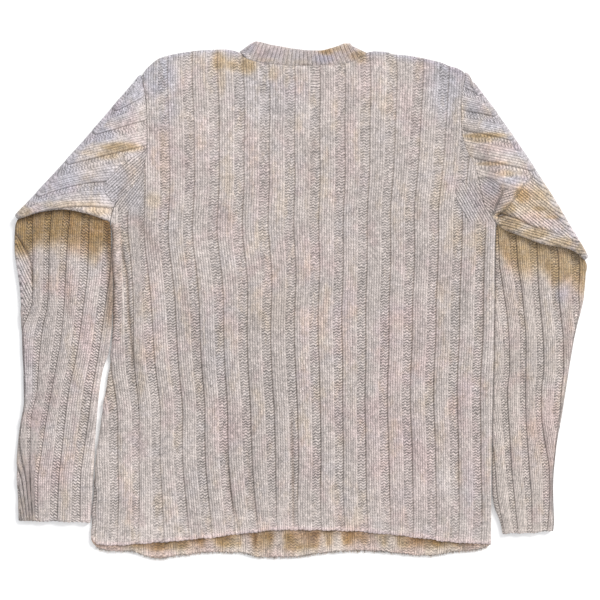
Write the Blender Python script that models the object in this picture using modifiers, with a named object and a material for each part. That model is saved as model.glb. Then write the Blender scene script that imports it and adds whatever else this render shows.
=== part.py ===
"""A crew-neck wool jumper in broad rib, laid flat with its back up.

Five knitted pieces, each a wall of cloth: front, back, two sleeves and the neckband.
The front lies on the table, the back lies on it, and their sides and shoulders curl
towards each other and meet at the seams. Each sleeve is one flattened tube. It leaves
its armhole sideways, folds under along a diagonal from the shoulder and comes out
below, beside the body. The tables are in millimetres, the model in metres, +Z up.
The neck points to +Y, and the wearer's left is at -X because the back is on top.
"""

import math
from collections import namedtuple

import bpy
import numpy as np

MM = 0.001

# Driving dimensions in millimetres
WALL = 2.6            # thickness of one layer of knitting
SEAM_GAP = 0.3        # room between two pieces that are sewn together
FRONT_Z = 1.3         # middle of the front's wall, so that its underside is at zero
BACK_Z = 5.4          # middle of the back's wall
RIB_RELIEF = 0.7      # how far the broad ribs rise and sink
RIBS = 16             # broad ribs across the back
BAND_WALL = 2.4       # thickness of the neckband
SLEEVE_LIFT = 8.0     # how far a sleeve rises where it lies on its own lower part
SLEEVE_RISE = 13.0    # distance in which it rises, from just outside the armhole

HALF_GAP = (BACK_Z - FRONT_Z) / 2
SEAM_Z = (BACK_Z + FRONT_Z) / 2
FOLD_RADIUS = SLEEVE_LIFT / 2
BAND_STEPS = (0.0, 0.5, 1.0)

# Points of a panel's edge, from its rim inwards: laid flat, and turned down to its seam
Bend = namedtuple("Bend", "flat_inset turned_inset turned_drop")
CURL = (
    Bend(0.0, WALL / 2, HALF_GAP - SEAM_GAP / 2),
    Bend(1.0, WALL / 2, HALF_GAP * 0.5),
    Bend(2.1, WALL / 2 + HALF_GAP * 0.36, HALF_GAP * 0.12),
    Bend(4.0, WALL / 2 + HALF_GAP, 0.0),
)

# Middle of the model's box, brought to the origin by the parent empty
BOX_CENTRE = (-0.01, 0.18)

Side = namedtuple("Side", "height left right")
SIDES = (
    Side(-345, -287.0, 262.0),
    Side(-275, -283.6, 262.4),
    Side(-206, -278.0, 263.0),
    Side(-138, -268.5, 264.4),
    Side(-83, -260.0, 265.8),
    Side(0, -256.0, 267.0),
    Side(68, -257.6, 267.0),
    Side(106, -259.0, 268.5),
    Side(118, -258.0, 261.0),
    Side(132, -255.0, 250.5),
    Side(145, -245.0, 241.5),
    Side(156, -235.0, 235.5),
    Side(168, -223.5, 229.5),
    Side(180, -215.0, 224.5),
    Side(205, -209.6, 221.5),
    Side(246, -209.6, 220.6),
    Side(280, -212.0, 221.6),
    Side(303, -217.1, 226.1),
)
UNDERARM = 106.0

# Top edge of the back: shoulders and the shallow back neck
Edge = namedtuple("Edge", "across height")
BACK_TOP = (
    Edge(-217, 303), Edge(-205, 320), Edge(-192, 331), Edge(-164, 338), Edge(-131, 342),
    Edge(-103, 343), Edge(-84, 339), Edge(-75, 331), Edge(-62, 326), Edge(-40, 322.5),
    Edge(0, 320), Edge(40, 321.5), Edge(66, 324), Edge(82, 330), Edge(93, 338),
    Edge(144, 335), Edge(192, 325.4), Edge(214, 315), Edge(226, 303),
)
# Top edge of the front: the same shoulders and a deep round neck
FRONT_TOP = (
    Edge(-217, 303), Edge(-205, 320), Edge(-192, 331), Edge(-164, 338), Edge(-131, 342),
    Edge(-103, 343), Edge(-85, 338), Edge(-77, 305), Edge(-62, 275), Edge(-40, 255),
    Edge(-16, 245), Edge(8, 243), Edge(32, 247), Edge(54, 258), Edge(73, 278),
    Edge(86, 306), Edge(93, 337), Edge(144, 335), Edge(192, 325.4), Edge(214, 315),
    Edge(226, 303),
)
# The cast-on edges: the back's is arched, the front's hangs lower and wavers
BACK_HEM = (
    Edge(-287, -336.0), Edge(-218, -333.6), Edge(-134, -326.7), Edge(-59, -318.0),
    Edge(-22, -315.0), Edge(52, -315.8), Edge(137, -322.6), Edge(218, -332.2),
    Edge(262, -334.4),
)
FRONT_HEM = (
    Edge(-287, -342.0), Edge(-231, -344.5), Edge(-197, -354.0), Edge(-162, -350.0),
    Edge(-120, -345.5), Edge(-85, -344.5), Edge(-52, -351.4), Edge(-14, -350.0),
    Edge(52, -344.0), Edge(97, -344.0), Edge(137, -347.0), Edge(175, -350.0),
    Edge(210, -344.5), Edge(262, -334.8),
)

# Courses of the panels that get a row of faces, from the hem to below the underarm
LOW_ROWS = (-325, -290, -215, -120, -20, 60, 97)
ARMHOLE_STEPS = 8
LOW_FADE = -215.0        # below this the courses bend to the hem
HIGH_FADE = 150.0        # above this they bend to the shoulders and the neck
TIP_HEIGHT = 303.0
EDGE_HOLD = 16.0         # this near the armhole the courses stay level
TIP_FADE, NECK_FADE = 22.0, 14.0
SIDE_TURN, UNDERARM_TURN, SHOULDER_TURN = 0.95, 0.6, 0.72
SEAM_EASE, TIP_EASE = 0.9, 0.5   # extra room at the armhole's underarm and shoulder ends
TOP_INSET = 8.5          # from the shoulder's tip to the first point of the armhole
CORE_LEFT, CORE_RIGHT = -192.0, 203.0    # ribs between these run straight to the shoulder

Station = namedtuple("Station", "shoulder_x shoulder_y underarm_x underarm_y")
# Lower part of each sleeve below its fold, outer edges, from the fold to the cuff
SLEEVE_LEFT = (
    Station(-237, 240, -391, 102), Station(-242, 190, -392.5, 92),
    Station(-258, 152, -393, 82), Station(-277, 116, -393.2, 72),
    Station(-262, 92, -393, 60), Station(-258.6, 62, -391.5, 46),
    Station(-258, 12, -387, 10), Station(-259.6, -45, -385, -46),
    Station(-262.6, -72, -385, -72), Station(-271, -98, -382.4, -98),
    Station(-277, -138, -382.2, -138), Station(-280, -175, -388, -175),
    Station(-283, -235, -391.5, -235), Station(-287.6, -306, -387.7, -302),
)
SLEEVE_RIGHT = (
    Station(242, 240, 392.6, 44), Station(248, 188, 391, 34),
    Station(265, 142, 390.5, 25), Station(285, 102, 389.5, 15),
    Station(270, 78, 388.5, 4), Station(267.8, 42, 385.5, -12),
    Station(268, -15, 379, -38), Station(267.4, -80, 371, -82),
    Station(266, -140, 362, -140), Station(264.8, -206, 350.6, -206),
    Station(263.9, -261, 346.6, -261), Station(266.5, -284, 347.2, -284),
    Station(273.5, -302, 348, -302), Station(278, -321, 346.6, -317),
)
# The fold of each sleeve: ends of its axis, and how far it bows outwards
Fold = namedtuple("Fold", "shoulder underarm bow")
FOLD_LEFT = Fold((-229.0, 288.3), (-380.0, 118.0), 0.0)
FOLD_RIGHT = Fold((236.0, 285.9), (384.6, 55.6), 5.0)
# How far the underarm edge of the upper part arches towards the shoulder
ARCH_LEFT = 15.0
ARCH_RIGHT = 3.0
UPPER_STEPS = (0.0, 0.06, 0.13, 0.26, 0.5, 0.75)
FOLD_TURNS = 4
SLEEVE_RIBS = 4
CAP_ANGLES = (30.0, -30.0)

# Neckband: its lines lean towards the middle of the neck, over a fold at each shoulder
BAND_HEIGHT = 21.0
BAND_LEAN = 42.0          # degrees at the ends of the back neck
NECK_CENTRE = (4.0, 322.0)
NECK_LEFT, NECK_RIGHT = -83.0, 92.0
BAND_FOLDS = (
    Fold((-82.5, 340.2), (-64.0, 353.8), 0.0),
    Fold((91.5, 338.4), (66.0, 350.6), 0.0),
)
BAND_FOLD_TURNS = (45, 90, 135)


def table_column(rows, key, value, at):
    """Read one named column of a table at the given places of another."""
    keys = [getattr(row, key) for row in rows]
    values = [getattr(row, value) for row in rows]
    return np.interp(at, keys, values)


def smooth_step(t):
    t = np.clip(t, 0.0, 1.0)
    return t * t * (3 - 2 * t)


def curl(amount, sign):
    """Insets from the outline, and heights, of the points of an edge that meets its seam.

    amount 0 leaves the edge flat, 1 turns it through a quarter circle down to the seam.
    sign is +1 where the edge turns down and -1 where it turns up.
    """
    insets = []
    rises = []
    for bend in CURL:
        insets.append(bend.flat_inset + amount * (bend.turned_inset - bend.flat_inset))
        rises.append(-sign * amount * bend.turned_drop)
    return insets, rises


def armhole(side, share):
    """Point of the armhole seam: share 0 is near the shoulder's tip, 1 at the underarm."""
    column = "left" if side < 0 else "right"
    rows = [row for row in reversed(SIDES) if row.height >= UNDERARM]
    xs = np.array([getattr(row, column) for row in rows])
    ys = np.array([row.height for row in rows], dtype=float)
    along = np.concatenate([[0.0], np.cumsum(np.hypot(np.diff(xs), np.diff(ys)))])
    at = TOP_INSET + share * (along[-1] - TOP_INSET - HALF_GAP - WALL / 2)
    return np.array([np.interp(at, along, xs), np.interp(at, along, ys)])


def panel_lines():
    """Ends of each row of a panel, left and right, from the hem to the shoulder tips."""
    lines = []
    for height in LOW_ROWS:
        left = float(table_column(SIDES, "height", "left", height))
        right = float(table_column(SIDES, "height", "right", height))
        lines.append(((left, height), (right, height)))
    for step in range(ARMHOLE_STEPS, -1, -1):
        left = armhole(-1, step / ARMHOLE_STEPS) + (SEAM_GAP / 2, 0)
        right = armhole(1, step / ARMHOLE_STEPS) - (SEAM_GAP / 2, 0)
        lines.append((tuple(left), tuple(right)))
    return lines


def panel_points(top_edge, hem_edge, columns, level, sign, wave):
    """Rows of points of a body panel, from the hem to the shoulders."""
    lines = panel_lines()
    tips = ((SIDES[-1].left, SIDES[-1].height), (SIDES[-1].right, SIDES[-1].height))
    natural_left = table_column(SIDES, "height", "left", UNDERARM)
    natural_right = table_column(SIDES, "height", "right", UNDERARM)
    points = []
    for row in range(len(lines) + len(CURL)):
        top_row = row - len(lines)
        (left, left_y), (right, right_y) = lines[row] if top_row < 0 else tips
        side_curl = SIDE_TURN if row < len(LOW_ROWS) else 0.0
        if row == len(LOW_ROWS) - 1:
            side_curl = UNDERARM_TURN
        insets, rises = curl(side_curl, sign)
        spots = [(left + inset, rise, 0.0) for inset, rise in zip(insets, rises)]
        for index, natural in enumerate(columns):
            x = natural
            ripple = wave * (1 if index % 2 else -1)
            if natural < CORE_LEFT:
                squeeze = (left - CORE_LEFT) / (natural_left - CORE_LEFT)
                x = CORE_LEFT + (natural - CORE_LEFT) * squeeze
                ripple *= min(squeeze, 1.0)
            if natural > CORE_RIGHT:
                squeeze = (right - CORE_RIGHT) / (natural_right - CORE_RIGHT)
                x = CORE_RIGHT + (natural - CORE_RIGHT) * squeeze
                ripple *= min(squeeze, 1.0)
            spots.append((x, 0.0, ripple))
        spots += [(right - inset, rise, 0.0) for inset, rise in zip(insets, rises)][::-1]
        line = []
        for x, rise, ripple in spots:
            top = float(table_column(top_edge, "across", "height", x))
            hem = float(table_column(hem_edge, "across", "height", x))
            y = left_y + (right_y - left_y) * (x - left) / (right - left)
            if top_row >= 0:
                tip = min(x - tips[0][0], tips[1][0] - x)
                neck = max(NECK_LEFT - x, x - NECK_RIGHT)
                turned = float(smooth_step(tip / TIP_FADE) * smooth_step(neck / NECK_FADE))
                turned *= SHOULDER_TURN
                top_insets, top_rises = curl(turned, sign)
                y = top - top_insets[-1 - top_row]
                rise += top_rises[-1 - top_row]
                ripple *= 0.5 if top_row == 0 else 0.0
            elif y < LOW_FADE:
                y = LOW_FADE + (LOW_FADE - y) / (LOW_FADE - LOW_ROWS[0]) * (hem - LOW_FADE)
            elif y > HIGH_FADE:
                inner = min(1.0, (x - left) / EDGE_HOLD, (right - x) / EDGE_HOLD)
                y += (y - HIGH_FADE) / (TIP_HEIGHT - HIGH_FADE) * (top - TIP_HEIGHT) * inner
            line.append((x, y, level + rise + ripple))
        points.append(line)
    return points


def mesh_object(name, vertices, faces, wall):
    """An open surface in millimetres made a wall of cloth by Solidify."""
    mesh = bpy.data.meshes.new(name)
    scaled = [tuple(value * MM for value in vertex) for vertex in vertices]
    mesh.from_pydata(scaled, [], faces)
    mesh.validate()
    piece = bpy.data.objects.new(name, mesh)
    mesh.shade_smooth()
    solidify = piece.modifiers.new("wall", "SOLIDIFY")
    solidify.thickness = wall * MM
    solidify.offset = 0.0
    solidify.use_even_offset = False
    solidify.use_rim = True
    return piece


def loft(name, rows, wall, closed_rows=False, closed_lines=False):
    """Join unlike section lines by quads. Rows or lines may close into a ring."""
    count = len(rows[0])
    vertices = [point for row in rows for point in row]
    faces = []
    last_row = len(rows) if closed_rows else len(rows) - 1
    last_point = count if closed_lines else count - 1
    for row in range(last_row):
        for point in range(last_point):
            a = row * count + point
            b = row * count + (point + 1) % count
            below = (row + 1) % len(rows)
            c = below * count + (point + 1) % count
            d = below * count + point
            faces.append((a, b, c, d))
    return mesh_object(name, vertices, faces, wall)


def rib_columns():
    """Lines of the ridges and valleys of the broad ribs between the two side edges."""
    left = table_column(SIDES, "height", "left", UNDERARM)
    right = table_column(SIDES, "height", "right", UNDERARM)
    count = RIBS * 2
    return [left + (right - left) * index / count for index in range(1, count)]


def back_panel():
    points = panel_points(BACK_TOP, BACK_HEM, rib_columns(), BACK_Z, 1, RIB_RELIEF)
    return loft("back_panel", points, WALL)


def front_columns():
    neck = [edge.across for edge in FRONT_TOP if NECK_LEFT - 3 < edge.across < NECK_RIGHT + 2]
    return [-240.0, -197.0, -162.0, -120.0] + neck + [131.0, 175.0, 214.0, 246.0]


def front_panel():
    points = panel_points(FRONT_TOP, FRONT_HEM, front_columns(), FRONT_Z, -1, 0.0)
    return loft("front_panel", points, WALL)


def distance_to_armhole(side, point):
    seam = np.array([armhole(side, share) for share in np.linspace(0, 1, 60)])
    return float(np.min(np.hypot(seam[:, 0] - point[0], seam[:, 1] - point[1])))


def sleeve_sections(side, fold, arch, lower):
    """Rings of a folded sleeve, from the armhole over the fold to the cuff."""
    ribs = SLEEVE_RIBS * 2
    shares = [index / ribs for index in range(ribs + 1)]
    axis_a, axis_b = np.array(fold.shoulder), np.array(fold.underarm)
    axis = axis_b - axis_a
    outward = np.array([-axis[1], axis[0]]) / np.hypot(*axis)
    if outward[0] * side < 0:
        outward = -outward
    waves = [RIB_RELIEF * (1 if index % 2 else -1) for index in range(ribs + 1)]
    waves[0] = waves[-1] = 0.0

    def fold_line(share):
        return axis_a + axis * share + outward * fold.bow * 4 * share * (1 - share)

    def ring(plan, normal, height, ridge_top, ridge_bottom):
        """One ring round the two layers, over the line of plan points."""
        top = []
        bottom = []
        for index, (x, y) in enumerate(plan):
            z = height[index]
            up = HALF_GAP + waves[index] * ridge_top
            down = HALF_GAP + waves[index] * ridge_bottom
            top.append((x + normal[0] * up, y + normal[1] * up, z + normal[2] * up))
            bottom.append((x - normal[0] * down, y - normal[1] * down, z - normal[2] * down))
        caps = []
        for end, inner in ((-1, -2), (0, 1)):
            way = np.array(plan[end]) - np.array(plan[inner])
            way = way / np.hypot(*way)
            cap = []
            for angle in CAP_ANGLES:
                out = HALF_GAP * math.cos(math.radians(angle))
                rise = HALF_GAP * math.sin(math.radians(angle))
                cap.append((plan[end][0] + way[0] * out + normal[0] * rise,
                            plan[end][1] + way[1] * out + normal[1] * rise,
                            height[end] + normal[2] * rise))
            caps.append(cap)
        return top + caps[0] + bottom[::-1] + caps[1][::-1]

    rings = []
    for step in UPPER_STEPS:
        plan = []
        height = []
        for share in shares:
            gap = SEAM_GAP + SEAM_EASE * share ** 3 + TIP_EASE * (1 - share) ** 3
            start = armhole(side, share) + (side * gap, 0)
            point = (1 - step) * start + step * fold_line(share)
            point[1] += arch * math.sin(math.pi * step) * share ** 3
            rise = smooth_step((distance_to_armhole(side, point) - 2) / SLEEVE_RISE)
            plan.append(tuple(point))
            height.append(SEAM_Z + SLEEVE_LIFT * float(rise))
        rings.append(ring(plan, (0, 0, 1), height, float(step > 0), 0.0))
    for turn in range(FOLD_TURNS + 1):
        angle = math.pi * turn / FOLD_TURNS
        out, up = math.sin(angle), math.cos(angle)
        middle = SEAM_Z + FOLD_RADIUS + FOLD_RADIUS * up
        plan = [tuple(fold_line(share) + outward * FOLD_RADIUS * out) for share in shares]
        normal = (outward[0] * out, outward[1] * out, up)
        rings.append(ring(plan, normal, [middle] * len(shares), max(up, 0.0), max(-up, 0.0)))
    inset = HALF_GAP + WALL / 2
    for row in lower:
        start = np.array([row.shoulder_x, row.shoulder_y])
        end = np.array([row.underarm_x, row.underarm_y])
        way = (end - start) / np.hypot(*(end - start))
        start = start + way * inset
        end = end - way * inset
        plan = [tuple(start + (end - start) * share) for share in shares]
        rings.append(ring(plan, (0, 0, -1), [SEAM_Z] * len(shares), 0.0, 1.0))
    return rings


def sleeve(name, side, fold, arch, lower):
    return loft(name, sleeve_sections(side, fold, arch, lower), WALL, closed_lines=True)


def neckband():
    """A ring of fine rib: its back half lies level with the back, its front half below."""
    lines = []

    def half(seam_points, level):
        for seam, way in seam_points:
            steps = [share * BAND_HEIGHT for share in BAND_STEPS]
            lines.append([(seam[0] + way[0] * d, seam[1] + way[1] * d, level) for d in steps])

    def fold(line, side, turns):
        seam, free = np.array(line.shoulder), np.array(line.underarm)
        away = (free - seam) / np.hypot(*(free - seam))
        outward = np.array([side * abs(away[1]), abs(away[0])])
        for turn in turns:
            angle = math.radians(turn)
            shift = outward * (HALF_GAP * math.sin(angle) - HALF_GAP - BAND_WALL / 2)
            z = SEAM_Z + HALF_GAP * math.cos(angle)
            points = [seam + (free - seam) * share + shift for share in BAND_STEPS]
            lines.append([(point[0], point[1], z) for point in points])

    back_seam = []
    for x in [column for column in rib_columns() if NECK_LEFT + 9 < column < NECK_RIGHT - 9]:
        lean = math.radians(BAND_LEAN * (x - NECK_CENTRE[0]) / (NECK_RIGHT - NECK_CENTRE[0]))
        y = float(table_column(BACK_TOP, "across", "height", x)) + SEAM_GAP
        back_seam.append(((x, y), (-math.sin(lean), math.cos(lean))))
    front_seam = []
    for edge in [row for row in FRONT_TOP if NECK_LEFT < row.across < NECK_RIGHT][::-1]:
        way = np.array(NECK_CENTRE) - (edge.across, edge.height)
        way = way / np.hypot(*way)
        start = np.array([edge.across, edge.height]) + way * SEAM_GAP
        front_seam.append((tuple(start), tuple(way)))
    half(back_seam, BACK_Z)
    fold(BAND_FOLDS[1], 1, BAND_FOLD_TURNS)
    half(front_seam, FRONT_Z)
    fold(BAND_FOLDS[0], -1, BAND_FOLD_TURNS[::-1])
    return loft("neckband", lines, BAND_WALL, closed_rows=True)


WOOL = {
    "front_panel": (0.40, 0.34, 0.29, 1.0),
    "back_panel": (0.50, 0.44, 0.41, 1.0),
    "sleeve_left": (0.48, 0.42, 0.39, 1.0),
    "sleeve_right": (0.49, 0.42, 0.38, 1.0),
    "neckband": (0.46, 0.40, 0.38, 1.0),
}


def wool_material(name, colour):
    material = bpy.data.materials.new(name + "_wool")
    material.use_nodes = True
    shader = material.node_tree.nodes["Principled BSDF"]
    shader.inputs["Base Color"].default_value = colour
    shader.inputs["Roughness"].default_value = 0.95
    shader.inputs["Metallic"].default_value = 0.0
    return material


def main():
    for item in list(bpy.data.objects):
        bpy.data.objects.remove(item, do_unlink=True)
    collection = bpy.data.collections.new("darned_wool_sweater")
    bpy.context.scene.collection.children.link(collection)
    garment = bpy.data.objects.new("garment_centre", None)
    garment.location = (-BOX_CENTRE[0] * MM, -BOX_CENTRE[1] * MM, 0.0)
    collection.objects.link(garment)
    pieces = [
        front_panel(),
        back_panel(),
        sleeve("sleeve_left", -1, FOLD_LEFT, ARCH_LEFT, SLEEVE_LEFT),
        sleeve("sleeve_right", 1, FOLD_RIGHT, ARCH_RIGHT, SLEEVE_RIGHT),
        neckband(),
    ]
    for piece in pieces:
        collection.objects.link(piece)
        piece.parent = garment
        piece.data.materials.append(wool_material(piece.name, WOOL[piece.name]))


main()
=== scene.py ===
"""Looks of a crew-neck wool jumper in broad rib, laid flat with its back up.

Each knitted piece is a grid laid over its own form, with the broad ribs, the columns of
stitches, the folds and the pleats in its shape, and made a wall of cloth by Solidify.
The single stitches and the heather of the yarn come from the materials, and the loose
fibres on the front's hem are slim spikes. The tables are in millimetres with +Y to the neck
and the garment's left at -X as it lies, the meshes in metres.
"""

import math
from collections import namedtuple

import bpy
import numpy as np
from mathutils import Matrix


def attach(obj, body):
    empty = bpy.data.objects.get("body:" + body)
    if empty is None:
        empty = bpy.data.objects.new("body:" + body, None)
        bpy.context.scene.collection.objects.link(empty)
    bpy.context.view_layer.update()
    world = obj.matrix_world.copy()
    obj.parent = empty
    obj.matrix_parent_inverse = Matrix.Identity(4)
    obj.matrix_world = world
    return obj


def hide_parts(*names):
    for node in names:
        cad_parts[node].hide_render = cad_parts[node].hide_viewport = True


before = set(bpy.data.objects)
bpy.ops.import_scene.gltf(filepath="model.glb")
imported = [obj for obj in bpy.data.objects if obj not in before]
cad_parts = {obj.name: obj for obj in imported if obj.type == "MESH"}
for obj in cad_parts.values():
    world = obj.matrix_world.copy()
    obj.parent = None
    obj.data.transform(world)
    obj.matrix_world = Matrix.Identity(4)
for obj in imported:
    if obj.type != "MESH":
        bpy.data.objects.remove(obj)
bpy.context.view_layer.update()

MM = 0.001

# ---------------------------------------------------------------- the garment's own sizes
WALL = 2.6               # thickness of one layer of knitting
SEAM_GAP = 0.3           # room between two pieces that are sewn together
FRONT_Z = 1.3            # middle of the front's wall
BACK_Z = 5.4             # middle of the back's wall
HALF_GAP = (BACK_Z - FRONT_Z) / 2
SEAM_Z = (BACK_Z + FRONT_Z) / 2
FOLD_RADIUS = 4.0        # a sleeve rises by twice this where it lies on its own lower part
SLEEVE_RISE = {-1: 18.0, 1: 27.0}        # distance in which it rises, left and right
BOX_CENTRE = (-0.01, 0.18)               # middle of the box in the tables' own sizes

WALES = 5                # columns of stitches in one broad rib: three plain, two purl
PURL_WALES = 2
COURSE = 3.85            # height of one row of stitches
PLAIN_START = 500        # stitch columns numbered from here on are plain knitting
RIB_UP, RIB_DOWN = 0.62, -0.32           # heights of the plain bands and the purl bands
RIB_MEAN = 0.35          # mean height of the ribs, kept where they fade out at a seam
WALE_HEIGHT = 0.32       # height of one column of stitches
PLAIN_WALE = 6.6         # width of one column where the knitting is plain
GROOVE_AT = 0.19         # the groove beside a purl band, in ribs from the band's middle
GROOVE_DEPTH = 0.9
ROLL = 5.5               # width of the rounding where a side turns down to its seam


def table(row, *rows):
    """Rows of a table, with their columns named."""
    return tuple(row(*values) for values in rows)


Side = namedtuple("Side", "height left right")
SIDES = table(Side,
    (-345, -287, 262), (-275, -283.6, 262.4), (-206, -278, 263), (-138, -268.5, 264.4),
    (-83, -260, 265.8), (0, -256, 267), (68, -257.6, 267), (106, -259, 268.5),
    (118, -257.4, 260.6), (132, -252, 251.5), (145, -239.5, 248.5), (156, -229, 246.5),
    (168, -219.5, 244), (180, -214.8, 240), (196, -211, 233), (212, -209.6, 225.5),
    (230, -209.6, 221.5), (246, -209.6, 220.6), (280, -212, 221.6), (303, -217.1, 226.1))
UNDERARM = 106.0
TIP_HEIGHT = 303.0       # tips of the shoulders
TOP_ROW = 294.5          # topmost course that runs level at the sides
HEM_HEIGHT = -345.0      # hems before they are arched
SEAM_TOP = {-1: 305.0, 1: 308.5}         # where the armhole's seam meets the shoulder's edge
HEAD_INSET = -0.8                        # from there to the first point of the sleeve
HEAD_SWELL = 3.5                         # how far the sleeve's head stands out at its top

Edge = namedtuple("Edge", "across height")
LEFT_SHOULDER = table(Edge,
    (-217, 305), (-209.6, 316.5), (-205, 321), (-192, 331), (-164, 338), (-131, 342), (-103, 343))
RIGHT_SHOULDER = table(Edge,
    (93, 338.5), (104, 340.3), (116, 340), (128, 336.5), (144, 335), (192, 325.4), (204, 320.5),
    (214, 317.4), (222, 313), (226, 308.5))
BACK_TOP = LEFT_SHOULDER + table(Edge,
    (-84, 339), (-75, 331), (-62, 326), (-40, 322.5), (0, 320), (40, 321.5), (66, 324),
    (82, 330)) + RIGHT_SHOULDER
FRONT_TOP = LEFT_SHOULDER + table(Edge,
    (-85, 338), (-77, 305), (-62, 275), (-40, 255), (-16, 245), (8, 243), (32, 247), (54, 258),
    (73, 278), (86, 306)) + RIGHT_SHOULDER
BACK_HEM = table(Edge,
    (-287, -322), (-283, -330), (-276, -335), (-262, -336), (-218, -333.6), (-134, -326.7),
    (-59, -318), (-22, -315), (52, -315.8), (137, -322.6), (218, -332.2), (262, -334.4))
FRONT_HEM = table(Edge,
    (-287, -326), (-283, -335), (-276, -341), (-262, -343.5), (-231, -344.5), (-197, -354),
    (-162, -350), (-120, -345.5), (-85, -345.5), (-52, -352.4), (-14, -352.6), (20, -348.5),
    (52, -345), (97, -344), (137, -347), (175, -350), (210, -345.5), (240, -343), (252, -340),
    (262, -335.5))
LOW_FADE, HIGH_FADE = -215.0, 150.0      # beyond these the courses bend to hem and neck
EDGE_HOLD = 16.0                         # this near the sides the courses stay level
NECK_LEFT, NECK_RIGHT = -83.0, 92.0
NECK_CENTRE = (4.0, 322.0)
TIP_FADE, NECK_FADE = 22.0, 14.0         # where the turn of a shoulder's edge fades out
SIDE_TURN, SHOULDER_TURN = 0.95, 0.9     # how far the edges turn down, of a quarter circle

# Broad ribs of the body: one purl band's middle and the spacing on either side of it
RibRow = namedtuple("RibRow", "height middle left_pitch right_pitch")
BODY_RIBS = table(RibRow,
    (-345, 85, 31.3, 31.3), (-275, 85, 31.3, 31.3), (-165, 85, 31.4, 31.2),
    (-97, 84.4, 32.1, 31.5), (-28, 85, 32.7, 31.8), (40, 85.2, 33.2, 32.3),
    (109, 86.6, 34.2, 32.3), (177, 88.8, 34.3, 33.6), (280, 89.2, 34.4, 35.2),
    (345, 89.4, 34.4, 35.4))

Station = namedtuple("Station", "shoulder_x shoulder_y underarm_x underarm_y")
SLEEVE_LEFT = table(Station,
    (-237, 240, -390, 101), (-242, 190, -391, 92), (-258, 152, -391.5, 82),
    (-272, 121, -391.5, 74), (-261.5, 109, -391.5, 68), (-259.6, 100, -391, 62),
    (-258.8, 84, -390, 54), (-257.9, 62, -388.5, 46), (-256.6, 12, -383.5, 10),
    (-258.8, -45, -381, -46), (-262.6, -72, -380.5, -72), (-271, -98, -379, -98),
    (-277, -138, -378.5, -138), (-280, -175, -384, -175), (-283, -235, -388, -235),
    (-287.6, -306, -385.2, -302))
SLEEVE_RIGHT = table(Station,
    (250, 236, 392.6, 44), (266, 190, 391, 34), (275, 142, 390.5, 25), (282, 119, 389.5, 15),
    (271.5, 109, 389.3, 12), (269.2, 101, 389, 9), (268.4, 88, 388.8, 6), (267.6, 72, 388.3, 2),
    (267.5, 42, 385.5, -12), (267.4, -15, 379, -38), (266.4, -80, 371, -82),
    (265, -140, 362, -140), (263.7, -206, 350.6, -206), (263.6, -261, 346.6, -261),
    (266.5, -284, 347.2, -284), (273.5, -302, 348, -302), (278, -321, 346.6, -317))
Fold = namedtuple("Fold", "shoulder underarm bow")
FOLD_LEFT = Fold((-225.0, 290.6), (-383.0, 112.8), -2.5)
FOLD_RIGHT = Fold((234.2, 292.1), (387.5, 57.0), 4.5)
# How the upper part's free edge departs from a straight line, from the armhole to the fold
Arch = namedtuple("Arch", "step rise")
ARCH_LEFT = table(Arch, (0, 0), (0.25, 10.6), (0.5, 15), (0.75, 10.6), (1, 0))
ARCH_RIGHT = table(Arch,
    (0, -2), (0.1, -6), (0.27, -5), (0.5, -3.5), (0.68, 2), (0.84, 6), (0.93, 5), (1, 0))


def smooth_curve(keys, values, at):
    """A smooth curve through the points of a table, without overshoot between them."""
    keys, values = np.asarray(keys, float), np.asarray(values, float)
    steps = np.diff(keys)
    slopes = np.diff(values) / steps
    tangents = np.zeros_like(values)
    tangents[0], tangents[-1] = slopes[0], slopes[-1]
    product = slopes[:-1] * slopes[1:]
    total = slopes[:-1] + slopes[1:]
    same_way = product > 0
    tangents[1:-1][same_way] = 2 * product[same_way] / total[same_way]
    at = np.asarray(at, float)
    index = np.clip(np.searchsorted(keys, at, side="right") - 1, 0, len(steps) - 1)
    t = np.clip((at - keys[index]) / steps[index], 0.0, 1.0)
    start, end = values[index], values[index + 1]
    lead, tail = tangents[index] * steps[index], tangents[index + 1] * steps[index]
    return ((2 * t**3 - 3 * t**2 + 1) * start + (t**3 - 2 * t**2 + t) * lead
            + (3 * t**2 - 2 * t**3) * end + (t**3 - t**2) * tail)


def read_table(rows, name, at):
    """A column of a table, as a smooth curve over its first column."""
    return smooth_curve([row[0] for row in rows], [getattr(row, name) for row in rows], at)


def length_at(points):
    """Length of a path up to each of its points."""
    return np.concatenate([[0.0], np.cumsum(np.linalg.norm(np.diff(points, axis=0), axis=1))])


def smooth_step(t):
    """Eases from 0 to 1 while t goes from 0 to 1."""
    t = np.clip(t, 0.0, 1.0)
    return t * t * (3 - 2 * t)


def bell(distance, width):
    """1 at no distance, and next to nothing from twice the width."""
    return np.exp(-(distance / width) ** 2)


def wander(seed, a, b, size):
    """Soft unevenness from -1 to 1 over a surface, with swells of about the given size."""
    draw = np.random.default_rng(seed)
    total = 0.0
    for _ in range(7):
        turn = draw.uniform(0, math.tau)
        wave = draw.uniform(0.6, 1.6) * math.tau / size
        lag = draw.uniform(0, math.tau)
        total = total + np.sin((a * math.cos(turn) + b * math.sin(turn)) * wave + lag)
    return total / 4.0


# ---------------------------------------------------------------- laying cloth over a form
def number_between(value, marks):
    """Number a value by the marks that it lies between: 0 at the first mark, 1 at the next."""
    number = (value - marks[0]) / (marks[1] - marks[0])
    for index in range(1, len(marks) - 1):
        beyond = index + (value - marks[index]) / (marks[index + 1] - marks[index])
        number = np.where(value > marks[index], beyond, number)
    return number


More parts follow.
